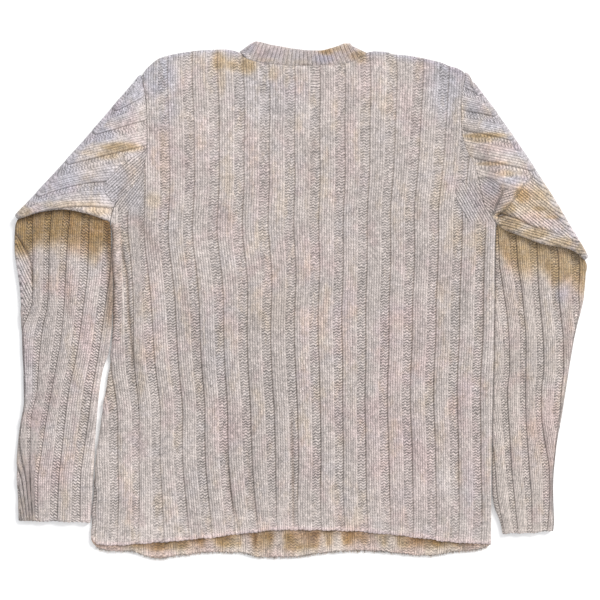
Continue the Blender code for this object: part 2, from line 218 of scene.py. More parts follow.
def rib_relief(ribs, lean=1, lap=0.3, depth=1.0):
    """Height of broad ribs and their stitch columns; whole numbers are middles of purl.

    lean is the side of the purl band on which it dips into a groove, and lap is how far the
    plain band beyond the groove stands over it, like a shingle.
    """
    phase = (ribs - np.round(ribs)) * lean
    step = smooth_step((np.abs(phase) - 0.14) / np.where(phase < 0, 0.22, 0.13))
    dome = 0.2 * np.cos(math.tau * (np.abs(phase) - 0.5)) * step
    groove = bell(phase - GROOVE_AT, 0.045) + 0.25 * bell(phase + GROOVE_AT, 0.04)
    fallen = np.mod(phase - GROOVE_AT, 1.0)
    shingle = lap * (1 - fallen) * smooth_step(fallen / 0.06)
    wale = np.abs(np.sin(math.pi * ribs * WALES)) - 0.6
    broad = RIB_DOWN + (RIB_UP - RIB_DOWN) * step + dome - GROOVE_DEPTH * groove + shingle
    return depth * broad + WALE_HEIGHT * wale * (0.3 + 0.7 * step)


def path_distance(x, y, path):
    """Distance of points from a path, and how far along it they lie, from 0 to 1."""
    path = np.asarray(path, float)
    reached = length_at(path)
    nearest = np.full(np.shape(x), 1e9)
    along = np.zeros(np.shape(x))
    for index, length in enumerate(np.diff(reached)):
        (ax, ay), (bx, by) = path[index], path[index + 1]
        t = np.clip(((x - ax) * (bx - ax) + (y - ay) * (by - ay)) / length**2, 0, 1)
        distance = np.hypot(x - ax - t * (bx - ax), y - ay - t * (by - ay))
        closer = distance < nearest
        nearest = np.where(closer, distance, nearest)
        along = np.where(closer, (reached[index] + t * length) / reached[-1], along)
    return nearest, along


Crease = namedtuple("Crease", "height width path")


def crease_relief(x, y, creases):
    """Soft ridges (above zero) and troughs (below) laid along given paths."""
    total = np.zeros(np.shape(x))
    for crease in creases:
        distance, along = path_distance(x, y, crease.path)
        fade = smooth_step(along / 0.2) * smooth_step((1 - along) / 0.2)
        total += crease.height * bell(distance, crease.width) * (0.15 + 0.85 * fade)
    return total


Patch = namedtuple("Patch", "x y reach_x reach_y strength")


def patch_cover(x, y, patches):
    """Strength from 0 to 1 of a tint that lies in soft patches."""
    total = np.zeros(np.shape(x))
    for patch in patches:
        away = np.hypot((x - patch.x) / patch.reach_x, (y - patch.y) / patch.reach_y)
        total = np.maximum(total, patch.strength * smooth_step(1.35 - away))
    return total


def inside(x, y, corners):
    """Whether points lie inside an outline, by counting the sides that they pass."""
    within = np.zeros(np.shape(x), bool)
    for index in range(len(corners)):
        (ax, ay), (bx, by) = corners[index - 1], corners[index]
        if ay != by:
            crosses = (ay > y) != (by > y)
            within ^= crosses & (x < ax + (y - ay) * (bx - ax) / (by - ay))
    return within


Plain = namedtuple("Plain", "way corners")


def plain_stitches(x, y, plains):
    """Where the stitches run the plain patches' own ways, and their numbers there."""
    covered = np.zeros(x.shape, bool)
    wales, courses = np.zeros(x.shape), np.zeros(x.shape)
    for index, plain in enumerate(plains):
        turn = math.radians(plain.way)
        within = inside(x, y, plain.corners)
        covered |= within
        across = (y * math.cos(turn) - x * math.sin(turn)) / PLAIN_WALE
        wales = np.where(within, PLAIN_START + 150 * (index + 1) + across, wales)
        courses = np.where(within, (x * math.cos(turn) + y * math.sin(turn)) / COURSE, courses)
    return covered, wales, courses


def side_curve(side):
    """Edge of the body from the shoulder's tip down to the underarm, closely stepped."""
    name = "left" if side < 0 else "right"
    heights = np.linspace(SEAM_TOP[side], UNDERARM, 400)
    return np.stack([read_table(SIDES, name, heights), heights], axis=1)


def armhole(side, share):
    """Points of the armhole seam: share 0 is near the shoulder's tip, 1 at the underarm."""
    curve = side_curve(side)
    along = length_at(curve)
    at = HEAD_INSET + np.asarray(share) * (along[-1] - HEAD_INSET - HALF_GAP - WALL / 2)
    return np.stack([np.interp(at, along, places) for places in curve.T], axis=-1)


def seam_distance(x, y):
    """Distance from the nearer armhole's seam, carried straight down below the underarm."""
    nearest = np.full(np.shape(x), 1e9)
    for side in (-1, 1):
        curve = side_curve(side)[::4]
        below = np.stack([np.full(12, curve[-1, 0]), curve[-1, 1] - 6.0 * np.arange(1, 13)],
                         axis=1)
        nearest = np.minimum(nearest, path_distance(x, y, np.vstack([curve, below]))[0])
    return nearest


def laid_grid(name, columns, rows):
    """A plain grid of faces from Blender's own primitive, ready to be laid over a form."""
    bpy.ops.object.select_all(action="DESELECT")
    bpy.ops.mesh.primitive_grid_add(x_subdivisions=columns, y_subdivisions=rows, size=1)
    piece = bpy.context.object
    piece.name = piece.data.name = name
    piece.data.uv_layers[0].name = "knit"
    return piece


def from_box_centre(places):
    """Places in the tables' own sizes, as rows of metres from the middle of the box."""
    return places.reshape(-1, 3) * MM - np.array([*BOX_CENTRE, 0.0]) * MM


def give_mask(mesh, name, values):
    """A value for each point of a mesh, which the wool's material reads by its name."""
    layer = mesh.attributes.new(name, "FLOAT", "POINT")
    layer.data.foreach_set("value", values.astype(np.float32).ravel())


def lay_cloth(piece, places, wales, courses, plain=None, **masks):
    """Lay a grid's points on their places, and give them their stitch numbers and tints.

    plain is None or a triple: which points are plain knitting, and their own numbers.
    """
    mesh = piece.data
    mesh.vertices.foreach_set("co", from_box_centre(places).ravel())
    corner = np.zeros(len(mesh.loops), int)
    mesh.loops.foreach_get("vertex_index", corner)
    stitches = np.stack([wales.ravel(), courses.ravel()], axis=1)[corner]
    if plain is not None:
        covered, plain_wales, plain_courses = (part.ravel() for part in plain)
        whole_face = np.repeat(covered[corner].reshape(-1, 4).mean(axis=1) > 0.5, 4)
        own = np.stack([plain_wales, plain_courses], axis=1)[corner]
        stitches = np.where(whole_face[:, None], own, stitches)
    mesh.uv_layers["knit"].data.foreach_set("uv", stitches.astype(np.float32).ravel())
    for mask, values in masks.items():
        give_mask(mesh, mask, values)
    mesh.update()


def pick(*pieces):
    """Select these pieces alone, the last of them active."""
    bpy.ops.object.select_all(action="DESELECT")
    for piece in pieces:
        piece.select_set(True)
    bpy.context.view_layer.objects.active = pieces[-1]


def finish_cloth(piece, wall, material, joined=False):
    """Close a tube's seam, give the cloth its thickness and its material."""
    pick(piece)
    if joined:
        bpy.ops.object.mode_set(mode="EDIT")
        bpy.ops.mesh.select_all(action="SELECT")
        bpy.ops.mesh.remove_doubles(threshold=0.00001)
        bpy.ops.object.mode_set(mode="OBJECT")
    solidify = piece.modifiers.new("wall", "SOLIDIFY")
    solidify.thickness = wall * MM
    solidify.offset = 0.0
    solidify.use_even_offset = False
    bpy.ops.object.modifier_apply(modifier=solidify.name)
    bpy.ops.object.shade_smooth()
    piece.data.materials.clear()
    piece.data.materials.append(material)
    return piece


# ---------------------------------------------------------------- front and back
ROLL_STEPS, TOP_STEPS = 8, 7             # rows of faces in a turned side and shoulder
HEM_STEPS = (0.0, 1.3, 2.8, 4.6, 7.0)    # heights of the first rows above the hem
EVEN_FROM = 11.0                         # above this the rows are evenly spaced

Spacing = namedtuple("Spacing", "left_columns core_columns right_columns rows")
BACK_SPACING = Spacing(60, 228, 36, 128)
FRONT_SPACING = Spacing(40, 120, 24, 76)
CORE_FIRST, CORE_LAST = -8.0, 3.4        # rib numbers between which the columns follow ribs
ROLLED_WIDTH, ROLLED_FOOT = 12.5, -60    # left edge below the underarm, rolled up
WRONG_SIDE = -60         # the stitches on it are numbered from here, all of them purl

# Beside the armholes the body's stitches run along the seams
BODY_PLAINS = table(Plain,
    (52, ((-256, 128), (-248, 120), (-224, 122), (-214, 136), (-213, 180), (-222, 190),
     (-262, 150))),
    (-60, ((214, 160), (250, 168), (262, 140), (278, 106), (231, 104), (212, 140))))
BODY_CREASES = table(Crease,
    (-1.7, 2.6, ((-12, -140), (-10, -230), (-9, -300), (-9, -324))),
    (-1.2, 2.6, ((-104, -190), (-96, -260), (-84, -312), (-80, -330))),
    (-1, 2.6, ((-74, -190), (-68, -250), (-58, -306), (-55, -326))),
    (1.3, 5, ((-259, 104), (-252, 70), (-247, 30), (-248, -4))),
    (-2.4, 2.8, ((-245, 96), (-243, 60), (-238, 39), (-236, 12), (-235, -17), (-232, -45),
     (-230, -72), (-230, -112))),
    (0.9, 6, ((258, 90), (259, 40), (257, -40), (256, -120))),
    (-0.9, 4, ((250, 96), (251, 50), (250, -20), (249, -90))),
    (-0.8, 7, ((-232, 118), (-214, 96), (-196, 66))),
    (-0.7, 6, ((236, 120), (222, 100), (206, 72))),
    (0.8, 9, ((-150, 60), (-120, -40), (-112, -150))),
    (-0.7, 8, ((-168, 30), (-140, -60), (-128, -160))),
    (0.7, 10, ((120, -120), (128, -200), (118, -290))),
    (-0.6, 8, ((20, 240), (12, 160), (16, 90))))
BACK_WARM = table(Patch,
    (-110, 326, 12, 18, 0.68), (-73, 321, 17, 15, 0.72), (-92, 322, 16, 11, 0.6),
    (-36, 308, 9, 13, 0.45), (84, 330, 12, 9, 0.55), (-107, 300, 7, 26, 0.4),
    (-186, 190, 8, 48, 0.3), (-200, 136, 14, 15, 0.4), (128, 316, 9, 18, 0.2),
    (163, 318, 10, 16, 0.25), (186, 136, 12, 18, 0.3), (212, 96, 12, 30, 0.3),
    (244, 86, 9, 34, 0.35), (-250, 84, 9, 24, 0.3), (-246, 20, 8, 50, 0.15),
    (-18, 300, 6, 10, 0.3), (-26, -15, 44, 36, 0.16), (133, -31, 14, 16, 0.2))
BACK_COOL = table(Patch,
    (-192, 304, 26, 34, 1), (200, 290, 28, 48, 0.75), (-186, 270, 20, 40, 0.4),
    (-40, 280, 60, 40, 0.3), (-226, 140, 14, 30, 0.5), (232, 128, 16, 30, 0.4),
    (-120, -60, 30, 60, 0.2), (232, -258, 10, 40, 0.3))
BACK_ROSY = table(Patch,
    (226, -124, 14, 26, 0.9), (174, -236, 12, 26, 0.9), (150, -60, 50, 70, 0.45),
    (130, -190, 60, 60, 0.6), (20, 60, 60, 40, 0.3), (-90, -170, 26, 40, 0.5),
    (-200, 60, 20, 60, 0.3), (190, 40, 30, 40, 0.3), (60, 290, 40, 24, 0.35),
    (-150, 200, 30, 60, 0.25), (212, -180, 26, 50, 0.4), (150, -270, 50, 40, 0.45))
# Broad patches where the back is a little darker
BACK_DARKER = table(Patch, (-56, 20, 56, 80, 0.14), (-40, -290, 200, 24, 0.08))
# Felted places, where the fluff of the wool hides its stitches
BACK_FELT = table(Patch,
    (-254, 66, 11, 60, 0.9), (-186, 250, 40, 90, 0.8), (200, 230, 40, 80, 0.8),
    (10, 250, 190, 90, 0.6), (-20, 90, 230, 100, 0.4), (-200, -220, 60, 90, 0.6),
    (40, -300, 190, 40, 0.6), (190, -280, 60, 60, 0.5))
# Where the front shows below the back its wool is ochre, but for the rises of a few ribs
FRONT_PALE = table(Patch,
    (-125, -340, 8, 30, 0.7), (-73, -340, 8, 30, 1), (-30, -340, 9, 30, 1),
    (31, -340, 6, 30, 0.7), (51, -340, 8, 30, 1), (101, -340, 12, 30, 0.9),
    (126, -340, 9, 30, 0.9), (-276, -340, 34, 30, 1), (262, -340, 22, 30, 1),
    (-185, -348, 22, 5, 0.5))
# Painted shade in a few deep creases of the front's strip
FRONT_CREASE_SHADE = table(Patch,
    (-62, -329, 1.8, 14, 1.2), (-82, -331, 2, 6, 0.8), (-133, -339, 5, 3, 0.8),
    (20, -324, 6, 8, 0.6), (44, -322, 8, 5, 0.6))
# Worn places that were knitted over again in level rows
BACK_DARNS = table(Patch, (17, 300, 12, 18, 1), (-60, 292, 9, 12, 0.8), (-26, 312, 8, 7, 0.7))


def rib_number(x, y):
    """Number of the broad rib at a point of the body, from the middle of one purl band.

    The ribs sway a little, and shift near the hem and along the left side.
    """
    sway = 2.2 * wander(5, x * 0.55, y, 170)
    by_the_hem = smooth_step((LOW_FADE - y) / 115)
    sway += 9 * by_the_hem * smooth_step((-10 - x) / 50) * smooth_step((x + 230) / 70)
    sway += (4 + 8 * smooth_step((y + 100) / 180)) * smooth_step((-212 - x) / 16)
    offset = x - read_table(BODY_RIBS, "middle", y) - sway
    left = read_table(BODY_RIBS, "left_pitch", y)
    right = read_table(BODY_RIBS, "right_pitch", y)
    return np.where(offset < 0, offset / left, offset / right)


def rim_points(steps, turn, reach):
    """Insets and drops of an edge that turns down to its seam, from the rim inwards."""
    t = np.linspace(0, 1, steps + 1)[:-1]
    angle = t * math.pi / 2
    turned = WALL / 2 + (reach - WALL / 2) * (1 - np.cos(angle))
    inset = np.multiply.outer(1 - turn, t * reach) + np.multiply.outer(turn, turned)
    drop = np.multiply.outer(turn, (HALF_GAP - SEAM_GAP / 2) * (1 - np.sin(angle)))
    return inset, drop


def body_grid(spacing, top_edge, hem_edge):
    """Places of a body panel in plan, and how far its turned edges drop at each."""
    heights = np.concatenate([HEM_HEIGHT + np.array(HEM_STEPS),
                              np.linspace(HEM_HEIGHT + EVEN_FROM, TOP_ROW, spacing.rows),
                              np.full(TOP_STEPS, TIP_HEIGHT)])
    left = read_table(SIDES, "left", heights) + SEAM_GAP / 2
    right = read_table(SIDES, "right", heights) - SEAM_GAP / 2
    turn = SIDE_TURN * smooth_step((UNDERARM + 4 - heights) / 20)
    inset, drop = rim_points(ROLL_STEPS, turn, ROLL)
    core = np.linspace(CORE_FIRST, CORE_LAST, spacing.core_columns + 1)
    middle = read_table(BODY_RIBS, "middle", heights)[:, None]
    pitch = np.where(core < 0, read_table(BODY_RIBS, "left_pitch", heights)[:, None],
                     read_table(BODY_RIBS, "right_pitch", heights)[:, None])
    core_x = middle + core * pitch

    def between(start, end, count):
        share = np.arange(count) / count
        return start[:, None] + (end - start)[:, None] * share

    inner_left, inner_right = left + ROLL, right - ROLL
    outward = between(inner_right, core_x[:, -1], spacing.right_columns)[:, ::-1]
    inward = between(inner_left, core_x[:, 0], spacing.left_columns)
    x = np.concatenate([left[:, None] + inset, inward, core_x, outward,
                        right[:, None] - inset[:, ::-1]], axis=1)
    flat = np.zeros((len(heights), x.shape[1] - 2 * ROLL_STEPS))
    drop = np.concatenate([drop, flat, drop[:, ::-1]], axis=1)
    y = np.repeat(heights[:, None], x.shape[1], axis=1)
    top = read_table(top_edge, "height", x)
    hem = read_table(hem_edge, "height", x)
    low = LOW_FADE + (LOW_FADE - y) / (LOW_FADE - HEM_HEIGHT) * (hem - LOW_FADE)
    from_side = np.minimum(x - left[:, None], right[:, None] - x)
    share = (y - HIGH_FADE) / (TOP_ROW - HIGH_FADE)
    high = y + share * (top - ROLL - TOP_ROW) * np.clip(from_side / EDGE_HOLD, 0, 1)
    y = np.where(y < LOW_FADE, low, np.where(y > HIGH_FADE, high, y))
    tip = from_side[-1]
    neck = np.maximum(NECK_LEFT - x, x - NECK_RIGHT)[-1]
    shoulder = SHOULDER_TURN * smooth_step(tip / TIP_FADE) * smooth_step(neck / NECK_FADE)
    top_inset, top_drop = rim_points(TOP_STEPS, shoulder, ROLL)
    y[-TOP_STEPS:] = top[-TOP_STEPS:] - top_inset.T[::-1]
    drop[-TOP_STEPS:] = np.maximum(drop[-TOP_STEPS:], top_drop.T[::-1])
    return x, y, drop, hem, top


def edge_round(distance):
    """Height of a cast-on edge: a lip, rounded over at its very end."""
    return 0.7 * bell(distance - 2.4, 1.8) - 1.1 * bell(distance, 1.2)


def edge_scallop(ribs, along, distance, seed):
    """Unevenness of a cast-on edge in its own plane, stitch by stitch."""
    loops = 0.45 * np.cos(math.tau * ribs * WALES) + 0.9 * wander(40 + seed, along, 0 * along, 30)
    return loops * bell(distance, 5.0)


def back_piece(material):
    """The back, from its hem to the shoulders, with its edges turned down to the seams."""
    x, y, drop, hem, top = body_grid(BACK_SPACING, BACK_TOP, BACK_HEM)
    ribs = rib_number(x, y)
    plain = plain_stitches(x, y, BODY_PLAINS)
    left = read_table(SIDES, "left", y)
    rolled = (x < left + ROLLED_WIDTH) & (y < UNDERARM - 4) & (y > ROLLED_FOOT)
    wrong_side = WRONG_SIDE + np.clip((x - left - 6.3) / 6.8, -0.93, 0.93)
    plain = (plain[0] | rolled, np.where(rolled, wrong_side, plain[1]),
             np.where(rolled, y / COURSE, plain[2]))
    from_seam = np.where(y > UNDERARM - 10, seam_distance(x, y), 99.0)
    near_seam = np.where(plain[0], 0.0, 1.0) * smooth_step((from_seam - 1) / 6)
    felt = np.maximum(patch_cover(x, y, BACK_FELT), smooth_step((hem + 64 - y) / 50))
    felt = np.maximum(felt, 0.62 * smooth_step((y - 40) / 220))
    depth = (1 + 0.5 * smooth_step(-y / 150)) * (1 - 0.62 * felt)
    relief = depth * rib_relief(ribs) * near_seam + RIB_MEAN * (1 - near_seam)
    relief *= smooth_step((top - y) / 5 + 0.35) * (0.6 + 0.4 * smooth_step((y - hem) / 14))
    folds = crease_relief(x, y, BODY_CREASES)
    relief += folds + 0.5 * wander(8, x, y, 150) + edge_round(y - hem)
    relief *= 1 - 0.75 * np.clip(drop / HALF_GAP, 0, 1)
    ruffle = (y < UNDERARM - 8) * smooth_step((left + 16 - x) / 16)
    ruffle = ruffle * (1.3 * wander(61, y, 0 * y, 34) + 0.6 * wander(62, y, 0 * y, 9))
    places = np.stack([x + ruffle, y + edge_scallop(ribs, x, y - hem, 1),
                       BACK_Z - drop + relief], axis=-1)
    piece = laid_grid("ribbed_back", x.shape[1] - 1, x.shape[0] - 1)
    # Painted shade: brown in the creases and in the gap beside the sleeve, brown and cooler along
    # the turned top edge; the hem's pale cast-on edge is also painted lighter against its shade
    rim = smooth_step((y - top + 9) / 8) * smooth_step((np.abs(x - NECK_CENTRE[0]) - 84) / 8)
    shade_beside_sleeve = 1.8 * bell(x - left, 3.8) * smooth_step((y + 70) / 60) * (y < UNDERARM)
    shade = np.clip(-folds / 2.0, 0, 1) + shade_beside_sleeve + 0.25 * rim
    lay_cloth(piece, places, ribs * WALES, y / COURSE, plain, lean=1 + 0 * x,
              shade=shade + patch_cover(x, y, BACK_DARKER), level=patch_cover(x, y, BACK_DARNS),
              warm=patch_cover(x, y, BACK_WARM), cool=patch_cover(x, y, BACK_COOL) + rim,
              rosy=patch_cover(x, y, BACK_ROSY) + bell(y - hem, 4.0) + 0.5 * rolled,
              felt=felt, worn=bell(y - hem, 3.5))
    return finish_cloth(piece, WALL, material)


def front_piece(material):
    """The front, of which a felted ochre edge shows below the back's hem."""
    x, y, drop, hem, top = body_grid(FRONT_SPACING, FRONT_TOP, FRONT_HEM)
    ribs = rib_number(x, y)
    back_hem = read_table(BACK_HEM, "height", x)
    shown = smooth_step((-306 - y) / 14)
    band = 0.5 - 0.5 * np.cos(math.tau * ribs)
    pale = patch_cover(x, y, FRONT_PALE)
    relief = (0.45 + 0.9 * shown) * (1 - band)
    relief += shown * (0.6 * (1 + wander(12, x, y, 46)) + 0.9 * pale)
    relief *= 1 - 0.75 * np.clip(drop / HALF_GAP, 0, 1)
    places = np.stack([x, y + edge_scallop(ribs, x, y - hem, 2), FRONT_Z + drop + relief], axis=-1)
    piece = laid_grid("ribbed_front", x.shape[1] - 1, x.shape[0] - 1)
    tint = shown * (1 - 0.8 * pale) * (0.75 + 0.3 * wander(21, x, y, 26))
    tint *= 0.25 + 0.75 * smooth_step((y - hem - 2) / 12)
    # Painted shadow below the back's hem, darker brown with the ochre, and painted shade in a few
    # deep creases
    shade = (1.1 * bell(y - back_hem, 7.0) + 0.3 * tint) * shown
    lay_cloth(piece, places, ribs * WALES, y / COURSE, warm=tint,
              shade=shade + patch_cover(x, y, FRONT_CREASE_SHADE),
              rosy=shown * smooth_step(0.3 + wander(23, x, y, 70)), felt=shown,
              worn=0.45 * bell(y - hem, 7.0) + 0.2 * pale * shown)
    finish_cloth(piece, WALL, material)
    add_fluff(piece)
    return piece


FIBRES = 4500
FIBRE_LENGTH, FIBRE_HALF_WIDTH = 7.0, 0.24
# The fibres' masks: painted light that keeps them pale against their own shade, felt, and a little
# warmth
FIBRE_MASKS = (("worn", 1.7), ("felt", 1.0), ("warm", 0.25))


def add_fluff(piece):
    """Loose fibres on the front's hem, each a slim closed spike from its root."""
    random = np.random.default_rng(71)
    across = random.uniform(-280, 258, FIBRES)
    up = 14 * random.uniform(0, 1, FIBRES) ** 2
    edge = read_table(FRONT_HEM, "height", across)
    roots = np.stack([across, edge + up, FRONT_Z + WALL / 2 * smooth_step(up / 3)], axis=1)
    random = np.random.default_rng(72)
    turn = -math.pi / 2 + random.normal(0, 0.5, FIBRES)
    ways = np.stack([np.cos(turn), np.sin(turn), random.uniform(-0.05, 0.25, FIBRES)], axis=1)
    side = np.stack([-ways[:, 1], ways[:, 0], 0 * turn], axis=1) * FIBRE_HALF_WIDTH
    tip = roots + ways * FIBRE_LENGTH * random.uniform(0.35, 1.0, FIBRES)[:, None]
    tip[:, 2] = np.maximum(tip[:, 2], 0.1)
    corners = np.stack([roots + side, roots - side, roots + (0, 0, 0.3), tip], axis=1)
    spike = np.array([(0, 1, 2), (0, 3, 1), (0, 2, 3), (1, 3, 2)])
    faces = (4 * np.arange(FIBRES)[:, None, None] + spike).reshape(-1, 3)
    mesh = bpy.data.meshes.new("fluff")
    mesh.from_pydata(from_box_centre(corners).tolist(), [], faces.tolist())
    mesh.uv_layers.new(name="knit")
    for mask, value in FIBRE_MASKS:
        give_mask(mesh, mask, np.full(4 * FIBRES, value))
    mesh.materials.append(piece.data.materials[0])
    fluff = bpy.data.objects.new("fluff", mesh)
    bpy.context.scene.collection.objects.link(fluff)
    pick(fluff, piece)
    bpy.ops.object.join()


# ---------------------------------------------------------------- sleeves
TOP_POINTS, UNDER_POINTS, EDGE_POINTS = 128, 112, 7
UPPER_ROWS, TURN_ROWS, LOWER_ROWS = 52, 12, 122
FOLD_ROW = UPPER_ROWS + TURN_ROWS        # first row of the lower part
LOWER_STEP = 4.8                         # about the height of one of its rows

# Where the purl bands run: as shares of the upper part's width at the armhole and at the
# fold, and across the lower part at a few heights
RibMarks = namedtuple("RibMarks", "height marks")
LEFT_UPPER_RIBS = ((0.155, 0.31, 0.477, 0.726, 0.97), (0.213, 0.39, 0.635, 0.89, 1.12))
LEFT_LOWER_RIBS = table(RibMarks,
    (-304, (-366.5, -363, -338.4, -306.9)), (-250, (-369.5, -364, -335.7, -306.2)),
    (-206, (-371.3, -358, -331.5, -301.4)), (-165, (-371.3, -351.4, -327.4, -295.9)),
    (-124, (-363, -343.2, -322, -290.4)), (-83, (-361.7, -336.3, -312.4, -282.9)),
    (-44, (-357.8, -330.2, -306.2, -276.7)), (-2, (-348.7, -327.4, -300.7, -271.3)),
    (39, (-347.4, -326, -296.3, -265.8)), (88, (-346.6, -322.6, -295, -263.7)),
    (125, (-344, -319, -293, -262)))
RIGHT_UPPER_RIBS = ((0.115, 0.262, 0.385, 0.58, 0.80, 0.97),
                    (0.085, 0.207, 0.356, 0.545, 0.80, 1.05))
RIGHT_LOWER_RIBS = table(RibMarks,
    (-320, (296, 314.5, 335, 356)), (-269, (289.5, 312.4, 337.7, 361)),
    (-234, (286.3, 308.7, 337, 361)), (-188, (283.3, 306.9, 329.5, 356)),
    (-158, (280.9, 305.9, 326, 351.4)), (-127, (279.5, 305.5, 325.4, 352.9)),
    (-90, (283.6, 305.2, 328.8, 356.2)), (-54, (282.2, 305.5, 328, 355.5)),
    (-17, (279, 302.8, 325, 351.8)), (13, (274, 300, 322, 349.4)),
    (51, (269, 293.2, 319.8, 348.7)), (81, (268, 291, 319.2, 346.6)), (110, (266, 290, 318, 345)))
LEFT_LOWER_CREASES = table(Crease,
    (-2, 2.4, ((-390, 96), (-386, 87), (-374, 66), (-369, 53), (-367, 36), (-367, 14))),
    (1.3, 5, ((-388, 62), (-380, 30), (-376, -10), (-378, -50))),
    (-0.9, 3, ((-392, -150), (-378, -156), (-360, -166))),
    (0.8, 4, ((-392, -160), (-376, -166), (-360, -175))),
    (-0.9, 5, ((-330, 60), (-318, 20), (-316, -30))),
    (0.8, 8, ((-300, 40), (-290, -40), (-298, -110))),
    (-0.8, 5, ((-372, -230), (-369, -262), (-367, -300))))
LEFT_UPPER_CREASES = table(Crease,
    (-1, 4.5, ((-301, 168), (-281, 160), (-262, 158))),
    (-1.2, 2.6, ((-254, 128), (-248, 143), (-237, 160), (-224, 178), (-216, 194))),
    (0.9, 7, ((-298, 196), (-330, 180), (-352, 160))),
    (1.1, 4, ((-262, 112), (-285, 120), (-320, 131), (-350, 128), (-384, 118))))
RIGHT_UPPER_CREASES = table(Crease,
    (1.1, 4, ((226, 226), (252, 225), (290, 214), (310, 204))),
    (1.2, 4, ((240, 190), (262, 188), (290, 181), (312, 172), (322, 162))),
    (-1.2, 4.5, ((278, 160), (275.4, 148.6), (270, 134), (265.8, 122))),
    (1.5, 4, ((311, 155), (322, 145), (339.5, 129.5), (353, 116), (366, 102.8))),
    (-1.1, 3.4, ((311, 134), (322, 127.5), (332.9, 122), (345, 113), (356, 104))))
RIGHT_LOWER_CREASES = table(Crease,
    (-1, 5, ((330, 60), (345, 30), (352, -20))), (0.9, 8, ((300, 50), (312, -10), (316, -80))),
    (-0.8, 6, ((372, 20), (366, -40), (358, -100))),
    (0.7, 9, ((294, -120), (298, -190), (306, -260))))
LEFT_UPPER_WARM = table(Patch,
    (-245, 208, 36, 9, 0.75), (-262, 198, 22, 9, 0.6), (-286, 200, 26, 5, 0.35),
    (-274, 122, 22, 10, 0.5), (-320, 130, 60, 6, 0.45), (-376, 120, 14, 10, 0.6))
LEFT_COOL = table(Patch,
    (-330, 166, 38, 30, 1), (-274, 224, 26, 14, 1), (-352, 136, 26, 12, 0.9),
    (-256, 266, 34, 24, 1), (-285, 154, 34, 14, 0.7), (-256, 160, 22, 34, 0.6),
    (-228, 282, 18, 18, 0.9), (-222, 298, 16, 20, 0.9), (-384, 40, 8, 40, 0.4),
    (-372, -100, 10, 50, 0.4))
LEFT_ROSY = table(Patch,
    (-300, 222, 30, 8, 0.5), (-240, 236, 16, 10, 0.5), (-360, -162, 20, 16, 0.9),
    (-352, -240, 34, 34, 0.7), (-290, -60, 14, 60, 0.5), (-330, 20, 30, 20, 0.4))
RIGHT_UPPER_WARM = table(Patch,
    (252, 224, 36, 5, 0.8), (245, 218, 26, 5, 0.55), (264, 186, 26, 4, 0.6),
    (281, 172, 16, 7, 0.5), (304, 142, 15, 15, 0.72), (286, 125, 13, 10, 0.6),
    (318, 136, 36, 28, 0.42), (326, 142, 30, 12, 0.5), (348, 120, 24, 10, 0.42),
    (326, 124, 16, 5, 0.6), (344, 113, 14, 4, 0.55), (276, 115, 12, 8, 0.7),
    (288, 103, 22, 12, 0.75), (320, 90, 28, 10, 0.68), (354, 78, 26, 8, 0.62),
    (384, 70, 10, 12, 0.7), (232, 206, 8, 20, 0.3))
RIGHT_COOL = table(Patch,
    (292, 163, 24, 7, 1), (262, 154, 16, 14, 0.7), (262, 240, 18, 12, 0.9),
    (362, 128, 12, 26, 0.5), (350, 93, 18, 5, 0.6), (240, 262, 16, 24, 0.8),
    (300, 200, 26, 8, 0.5), (358, 12, 10, 20, 0.6), (378, 96, 8, 16, 0.5), (234, 294, 18, 30, 0.9))
RIGHT_ROSY = table(Patch,
    (276, 208, 40, 9, 0.9), (318, 112, 18, 10, 1), (334, 104, 12, 8, 0.8),
    (320, -190, 30, 60, 0.4), (290, 10, 20, 40, 0.35), (268, 132, 8, 14, 0.6),
    (345, -210, 16, 90, 0.6))
# A pleat turned over the right sleeve: its outline, its free edge, the crease under it, the
# dark mouth where they meet, and the rolled edge of the fold below them
PLEAT_RIM = ((304, 157), (299.5, 148.6), (291.8, 137), (282.2, 124.5), (274.7, 118.5),
             (265.8, 110.8))
PLEAT_CREASE = ((272, 114.5), (279.5, 117.5), (289.6, 113.4), (299.5, 109), (311, 103.4),
                (319.2, 99.3), (328.1, 97.1), (343.2, 92.5), (355.5, 88.4), (372, 80))
PLEAT = PLEAT_RIM + PLEAT_CREASE[1:] + ((386, 77), (371, 103), (345, 142), (322, 172))
PLEAT_MOUTH = (276, 115)
HEM_OF_FOLD = ((266, 105.5), (270, 104), (281.4, 102), (301.4, 94.8), (317.8, 88.2),
               (332.9, 81.7), (352.8, 78.4), (372.6, 74), (389, 64.6))
# Patches of plain knitting: the gussets that run on from the armholes, and the pleat
LEFT_PLAINS = table(Plain,
    (42, ((-206, 212), (-229, 194), (-249, 181), (-266, 161.5), (-267, 145), (-257, 132),
     (-240, 132), (-206, 160))))
RIGHT_PLAINS = table(Plain,
    (-35, ((238, 168), (259, 168), (273, 158.5), (276.5, 149), (272, 134), (266, 121), (262, 112),
     (240, 130))),
    (18, ((276.5, 149), (284, 153), (299.5, 148.6), (291.8, 137), (282.2, 124.5), (274.7, 118.5),
     (265.8, 112), (266, 121), (272, 134))),
    (-39, PLEAT),
    (-17, PLEAT_CREASE + ((393, 72), (396, 55), (361.7, 68), (299.5, 84), (268, 96))))
LEFT_UNDER_PLAINS = table(Plain,
    (-65, ((-394, 94), (-386, 87), (-374, 66), (-369, 53), (-367, 36), (-366, 4), (-380, -20),
     (-394, -20))))
Sleeve = namedtuple("Sleeve", "side stations fold arch way upper_ribs lower_ribs under_number "
                              "upper_creases lower_creases plains under_plains "
                              "warm cool rosy under_shade under_warm")
